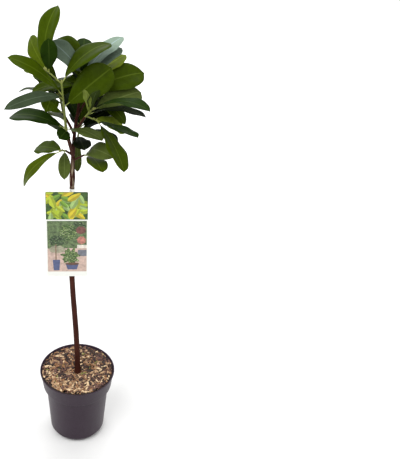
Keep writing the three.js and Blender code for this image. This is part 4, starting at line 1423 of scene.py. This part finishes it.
# %% The list of prints
# Each piece: how far it stands off the card, how much further each next shape stands, and its shapes, each
# with the name of its ink.
PRINTS = {
    "foliage_picture": (0.04, 0, [("dark foliage print", foliage_ground())]),
    "leaf_prints": (0.05, 0.001, printed_halves),
    "garden_picture": (0.04, 0, [
        ("misty green print", box_shape((GARDEN_EDGE, FOOT_STRIP), (GARDEN_RIGHT, GARDEN_TOP))),
    ]),
    "path_print": (0.05, 0.01, [
        ("pink paving print", box_shape((GARDEN_EDGE, FOOT_STRIP), (GARDEN_RIGHT, PAVING_TOP))),
        ("mossy path print", bush_shape((0.26, 0.33), (0.195, 0.045))),
    ]),
    "bush_prints": (0.075, 0.01, [
        ("dark hedge print", bush_shape((0.76, 0.60), (0.18, 0.055))),
        ("light hedge print", bush_shape((0.53, 0.535), (0.21, 0.095))),
        ("dark hedge print", bush_shape((0.255, 0.435), (0.19, 0.062))),
        ("light hedge print", bush_shape((0.58, 0.245), (0.20, 0.09), 0.16)),
    ]),
    "wall_prints": (0.07, 0, [
        ("cream ledge print", box_shape((0.74, PAVING_TOP), (GARDEN_RIGHT, 0.385))),
        ("slate wall print", box_shape((0.76, 0.25), (GARDEN_RIGHT, 0.325))),
    ]),
    "tub_prints": (0.12, 0.005, [
        ("tree stem print", box_shape((0.215, 0.19), (0.245, 0.39))),
        ("slate blue tub print", box_shape((0.15, 0.075), (0.33, 0.205), 0.02)),
        ("slate blue tub print", box_shape((0.46, 0.085), (0.78, 0.155), 0.05)),
        ("brown soil print", bush_shape((0.62, 0.155), (0.17, 0.016), 0.0)),
    ]),
    "flower_print": (0.10, 0.01, [
        ("red hedge print", bush_shape((0.83, 0.56), (0.12, 0.045))),
        ("rose bed print", bush_shape((0.845, 0.44), (0.105, 0.045))),
    ]),
}
print("prints:", {name: len(shapes) for name, (_, _, shapes) in PRINTS.items()}, "shapes")

# %% Inks of the prints
# Each plain ink: its colour, and how far its blotches spread.
PRINT_INKS = {
    "dark foliage print": ((0.030, 0.075, 0.010), 0.7),
    "misty green print": ((0.10, 0.15, 0.06), 0.8),
    "pink paving print": ((0.52, 0.38, 0.32), 0.3),
    "mossy path print": ((0.30, 0.29, 0.20), 0.5),
    "cream ledge print": ((0.72, 0.66, 0.58), 0.3),
    "slate wall print": ((0.15, 0.16, 0.19), 0.3),
    "tree stem print": ((0.20, 0.13, 0.08), 0.3),
    "slate blue tub print": ((0.07, 0.09, 0.19), 0.3),
    "brown soil print": ((0.10, 0.05, 0.03), 0.3),
    "rose bed print": ((0.42, 0.17, 0.13), 0.7),
    "red hedge print": ((0.16, 0.06, 0.05), 0.6),
}

# Each ink in cells: how many cells to a metre, and its tones.
HEDGE_TONES = [(0.06, 0.13, 0.04), (0.12, 0.21, 0.07), (0.03, 0.06, 0.02), (0.20, 0.29, 0.14)]
LIGHT_HEDGE_TONES = [(0.14, 0.27, 0.06), (0.28, 0.42, 0.12), (0.06, 0.13, 0.03), (0.42, 0.54, 0.24)]
CELL_INKS = {
    "dark hedge print": (230.0, HEDGE_TONES),
    "light hedge print": (260.0, LIGHT_HEDGE_TONES),
}
CELL_BEND = 0.006
CELL_SEAM = 0.3
SEAM_SHADE = 0.12


def print_ink(name, colour, spread):
    """A glossy ink with blotches."""
    return blotched(plain(name, colour, 0.35), 160.0, spread)


def tone_steps(tree, value, tones):
    """One tone for each equal step of a value between 0 and 1."""
    ramp = add_node(tree, "ShaderNodeValToRGB", {"Fac": value})
    ramp.color_ramp.interpolation = "CONSTANT"
    while len(ramp.color_ramp.elements) < len(tones):
        ramp.color_ramp.elements.new(0.5)
    for number, tone in enumerate(tones):
        ramp.color_ramp.elements[number].position = number / len(tones)
        ramp.color_ramp.elements[number].color = (*tone, 1)
    return ramp.outputs["Color"]


def cell_ink(name, scale, tones):
    """Foliage: each cell of a Voronoi pattern takes one of the tones, and the seams between cells go dark.
    The pattern is turned, squeezed upwards, and bent by a small share of a coarse noise."""
    material = plain(name, tones[0], 0.35)
    tree = material.node_tree
    place = add_node(tree, "ShaderNodeTexCoord").outputs["Object"]
    values = {"Vector": place, "Rotation": (0, 0.7, 0), "Scale": (1.0, 1.0, 2.1)}
    squeezed = add_node(tree, "ShaderNodeMapping", values).outputs["Vector"]
    noise = add_node(tree, "ShaderNodeTexNoise", {"Vector": place, "Scale": 60.0, "Detail": 1.0})
    terms = {0: noise.outputs["Color"], 1: (CELL_BEND, CELL_BEND, CELL_BEND), 2: squeezed}
    bent = add_node(tree, "ShaderNodeVectorMath", terms, operation="MULTIPLY_ADD").outputs[0]
    values = {"Vector": bent, "Scale": scale, "Randomness": 0.9}
    cells = add_node(tree, "ShaderNodeTexVoronoi", values).outputs["Color"]
    seams = add_node(tree, "ShaderNodeTexVoronoi", values, feature="DISTANCE_TO_EDGE").outputs["Distance"]
    pick = add_node(tree, "ShaderNodeSeparateXYZ", {0: cells}).outputs["X"]
    shade = fade(tree, seams, 0.0, CELL_SEAM, SEAM_SHADE, 1.0)
    terms = {0: tone_steps(tree, pick, tones), "Scale": shade}
    feed(tree, add_node(tree, "ShaderNodeVectorMath", terms, operation="SCALE").outputs[0], "Base Color")
    return material


inks = {name: print_ink(name, *row) for name, row in PRINT_INKS.items()}
inks.update({name: cell_ink(name, *row) for name, row in CELL_INKS.items()})
for number, tone in enumerate(LEAF_PRINT_TONES):
    shaded = tuple(SHADED_SHARE * c for c in tone)
    inks[f"bright leaf print {number}"] = print_ink(f"bright leaf print {number}", tone, 0.15)
    inks[f"shaded leaf print {number}"] = print_ink(f"shaded leaf print {number}", shaded, 0.15)
print("inks:", len(inks))


# %% Lay the prints
def lay_print(name, lift, step, shapes):
    """One piece from flat shapes on the card, each a little nearer than the one before. The piece holds each
    of its inks once."""
    used = list(dict.fromkeys(ink for ink, _ in shapes))
    all_points, all_faces, all_slots, start = [], [], [], 0
    for number, (ink, shape) in enumerate(shapes):
        points, faces = slab(CARD_FOOT + shape * CARD_SIZE, FRONT - lift - step * number, FRONT)
        all_points.append(points)
        for block in faces:
            all_faces.append(block + start)
            all_slots.append(np.full(len(block), used.index(ink)))
        start += len(points)
    materials = [inks[ink] for ink in used]
    slots = np.concatenate(all_slots)
    piece = put_mesh(name, np.concatenate(all_points), all_faces, materials, slots, crease=30)
    ride(piece, "card")


for name, row in PRINTS.items():
    lay_print(name, *row)
print("prints laid:", ", ".join(PRINTS))

# %% [markdown]
# The plant stands in a studio: a pale floor, an even white surround, and four soft square lamps. The key
# comes from the upper left and a weaker fill from the right. The third washes the floor behind with light,
# and the fourth shines on the crown from the back. One small sun would do for the shape alone, but its hard
# shadows hide the inside of the crown. Glossy leaves show what they mirror, so the surround matters too.

# %% Floor and light
FLOOR_SIZE = 12
SURROUND_STRENGTH = 0.55
floor_white = plain("pale floor", (0.72, 0.72, 0.715), 0.9, Specular_IOR_Level=0.1)

# Each lamp: its place and what it looks at, in metres, then the side of its square and its power in watts.
LAMPS = {
    "key softbox": ((-1.3, -1.3, 2.9), (0, 0, 0.5), 2.4, 92),
    "fill softbox": ((2.0, -1.0, 2.4), (0, 0, 0.5), 2.0, 30),
    "floor wash": ((0.6, 1.5, 2.6), (0.8, 3.2, 0), 2.0, 80),
    "back softbox": ((-0.8, 2.2, 1.6), (0, 0, 0.7), 2.0, 22),
}


def make_floor():
    """One large square at the height of the pot's underside."""
    half = FLOOR_SIZE / 2 / MM
    corners = np.array([(-half, -half, 0), (half, -half, 0), (half, half, 0), (-half, half, 0)], float)
    floor = put_mesh("floor", corners, [np.array([[0, 1, 2, 3]])], [floor_white])


def make_lamp(name, place, target, size, power):
    """A square area light that looks from its place at a target."""
    light = bpy.data.lights.new(name, "AREA")
    light.size = size
    light.energy = power
    lamp = bpy.data.objects.new(name, light)
    lamp.location = place
    way = np.array(target, float) - np.array(place, float)
    lamp.rotation_euler = Vector(way).to_track_quat("-Z", "Y").to_euler()
    lamp.visible_camera = False
    bpy.context.scene.collection.objects.link(lamp)


def make_surround(strength):
    """The same white light from every side."""
    world = bpy.data.worlds.new("white surround")
    world.use_nodes = True
    background = world.node_tree.nodes["Background"]
    background.inputs["Color"].default_value = (1, 1, 1, 1)
    background.inputs["Strength"].default_value = strength
    bpy.context.scene.world = world


make_floor()
make_surround(SURROUND_STRENGTH)
for name, row in LAMPS.items():
    make_lamp(name, *row)
print("lamps:", ", ".join(LAMPS))

# %% [markdown]
# The camera stands in front and above, and looks down at the plant, which sits left of the middle of the
# frame. It could be placed by eye. Its place, tilt and turn were worked out from the ellipses of the pot's
# lip instead, because then every leaf can be measured from the same view.

# %% Camera
CAMERA_PLACE = (0, -1.600, 1.7533)
CAMERA_DOWN = math.radians(36.10)
CAMERA_TURN = math.radians(7.43)
FOCAL_PIXELS = 939.9
FRAME_HEIGHT = 459
SENSOR = 36


def make_camera():
    """Turned by CAMERA_TURN about its own up axis after it is tilted down by CAMERA_DOWN."""
    data = bpy.data.cameras.new("camera")
    data.sensor_fit = "VERTICAL"
    data.sensor_height = SENSOR
    data.sensor_width = SENSOR
    data.lens = FOCAL_PIXELS * SENSOR / FRAME_HEIGHT
    camera = bpy.data.objects.new("camera", data)
    ahead = np.array([0, math.cos(CAMERA_DOWN), -math.sin(CAMERA_DOWN)])
    up = np.array([0, math.sin(CAMERA_DOWN), math.cos(CAMERA_DOWN)])
    right = np.array([1.0, 0, 0])
    turned_right = right * math.cos(CAMERA_TURN) - ahead * math.sin(CAMERA_TURN)
    turned_ahead = ahead * math.cos(CAMERA_TURN) + right * math.sin(CAMERA_TURN)
    matrix = np.eye(4)
    matrix[:3, 0] = turned_right
    matrix[:3, 1] = up
    matrix[:3, 2] = -turned_ahead
    matrix[:3, 3] = CAMERA_PLACE
    camera.matrix_world = Matrix(matrix.tolist())
    bpy.context.scene.collection.objects.link(camera)
    bpy.context.scene.camera = camera


make_camera()
bpy.context.scene.view_settings.view_transform = "Standard"
print("camera:", round(bpy.context.scene.camera.data.lens, 1), "mm lens")
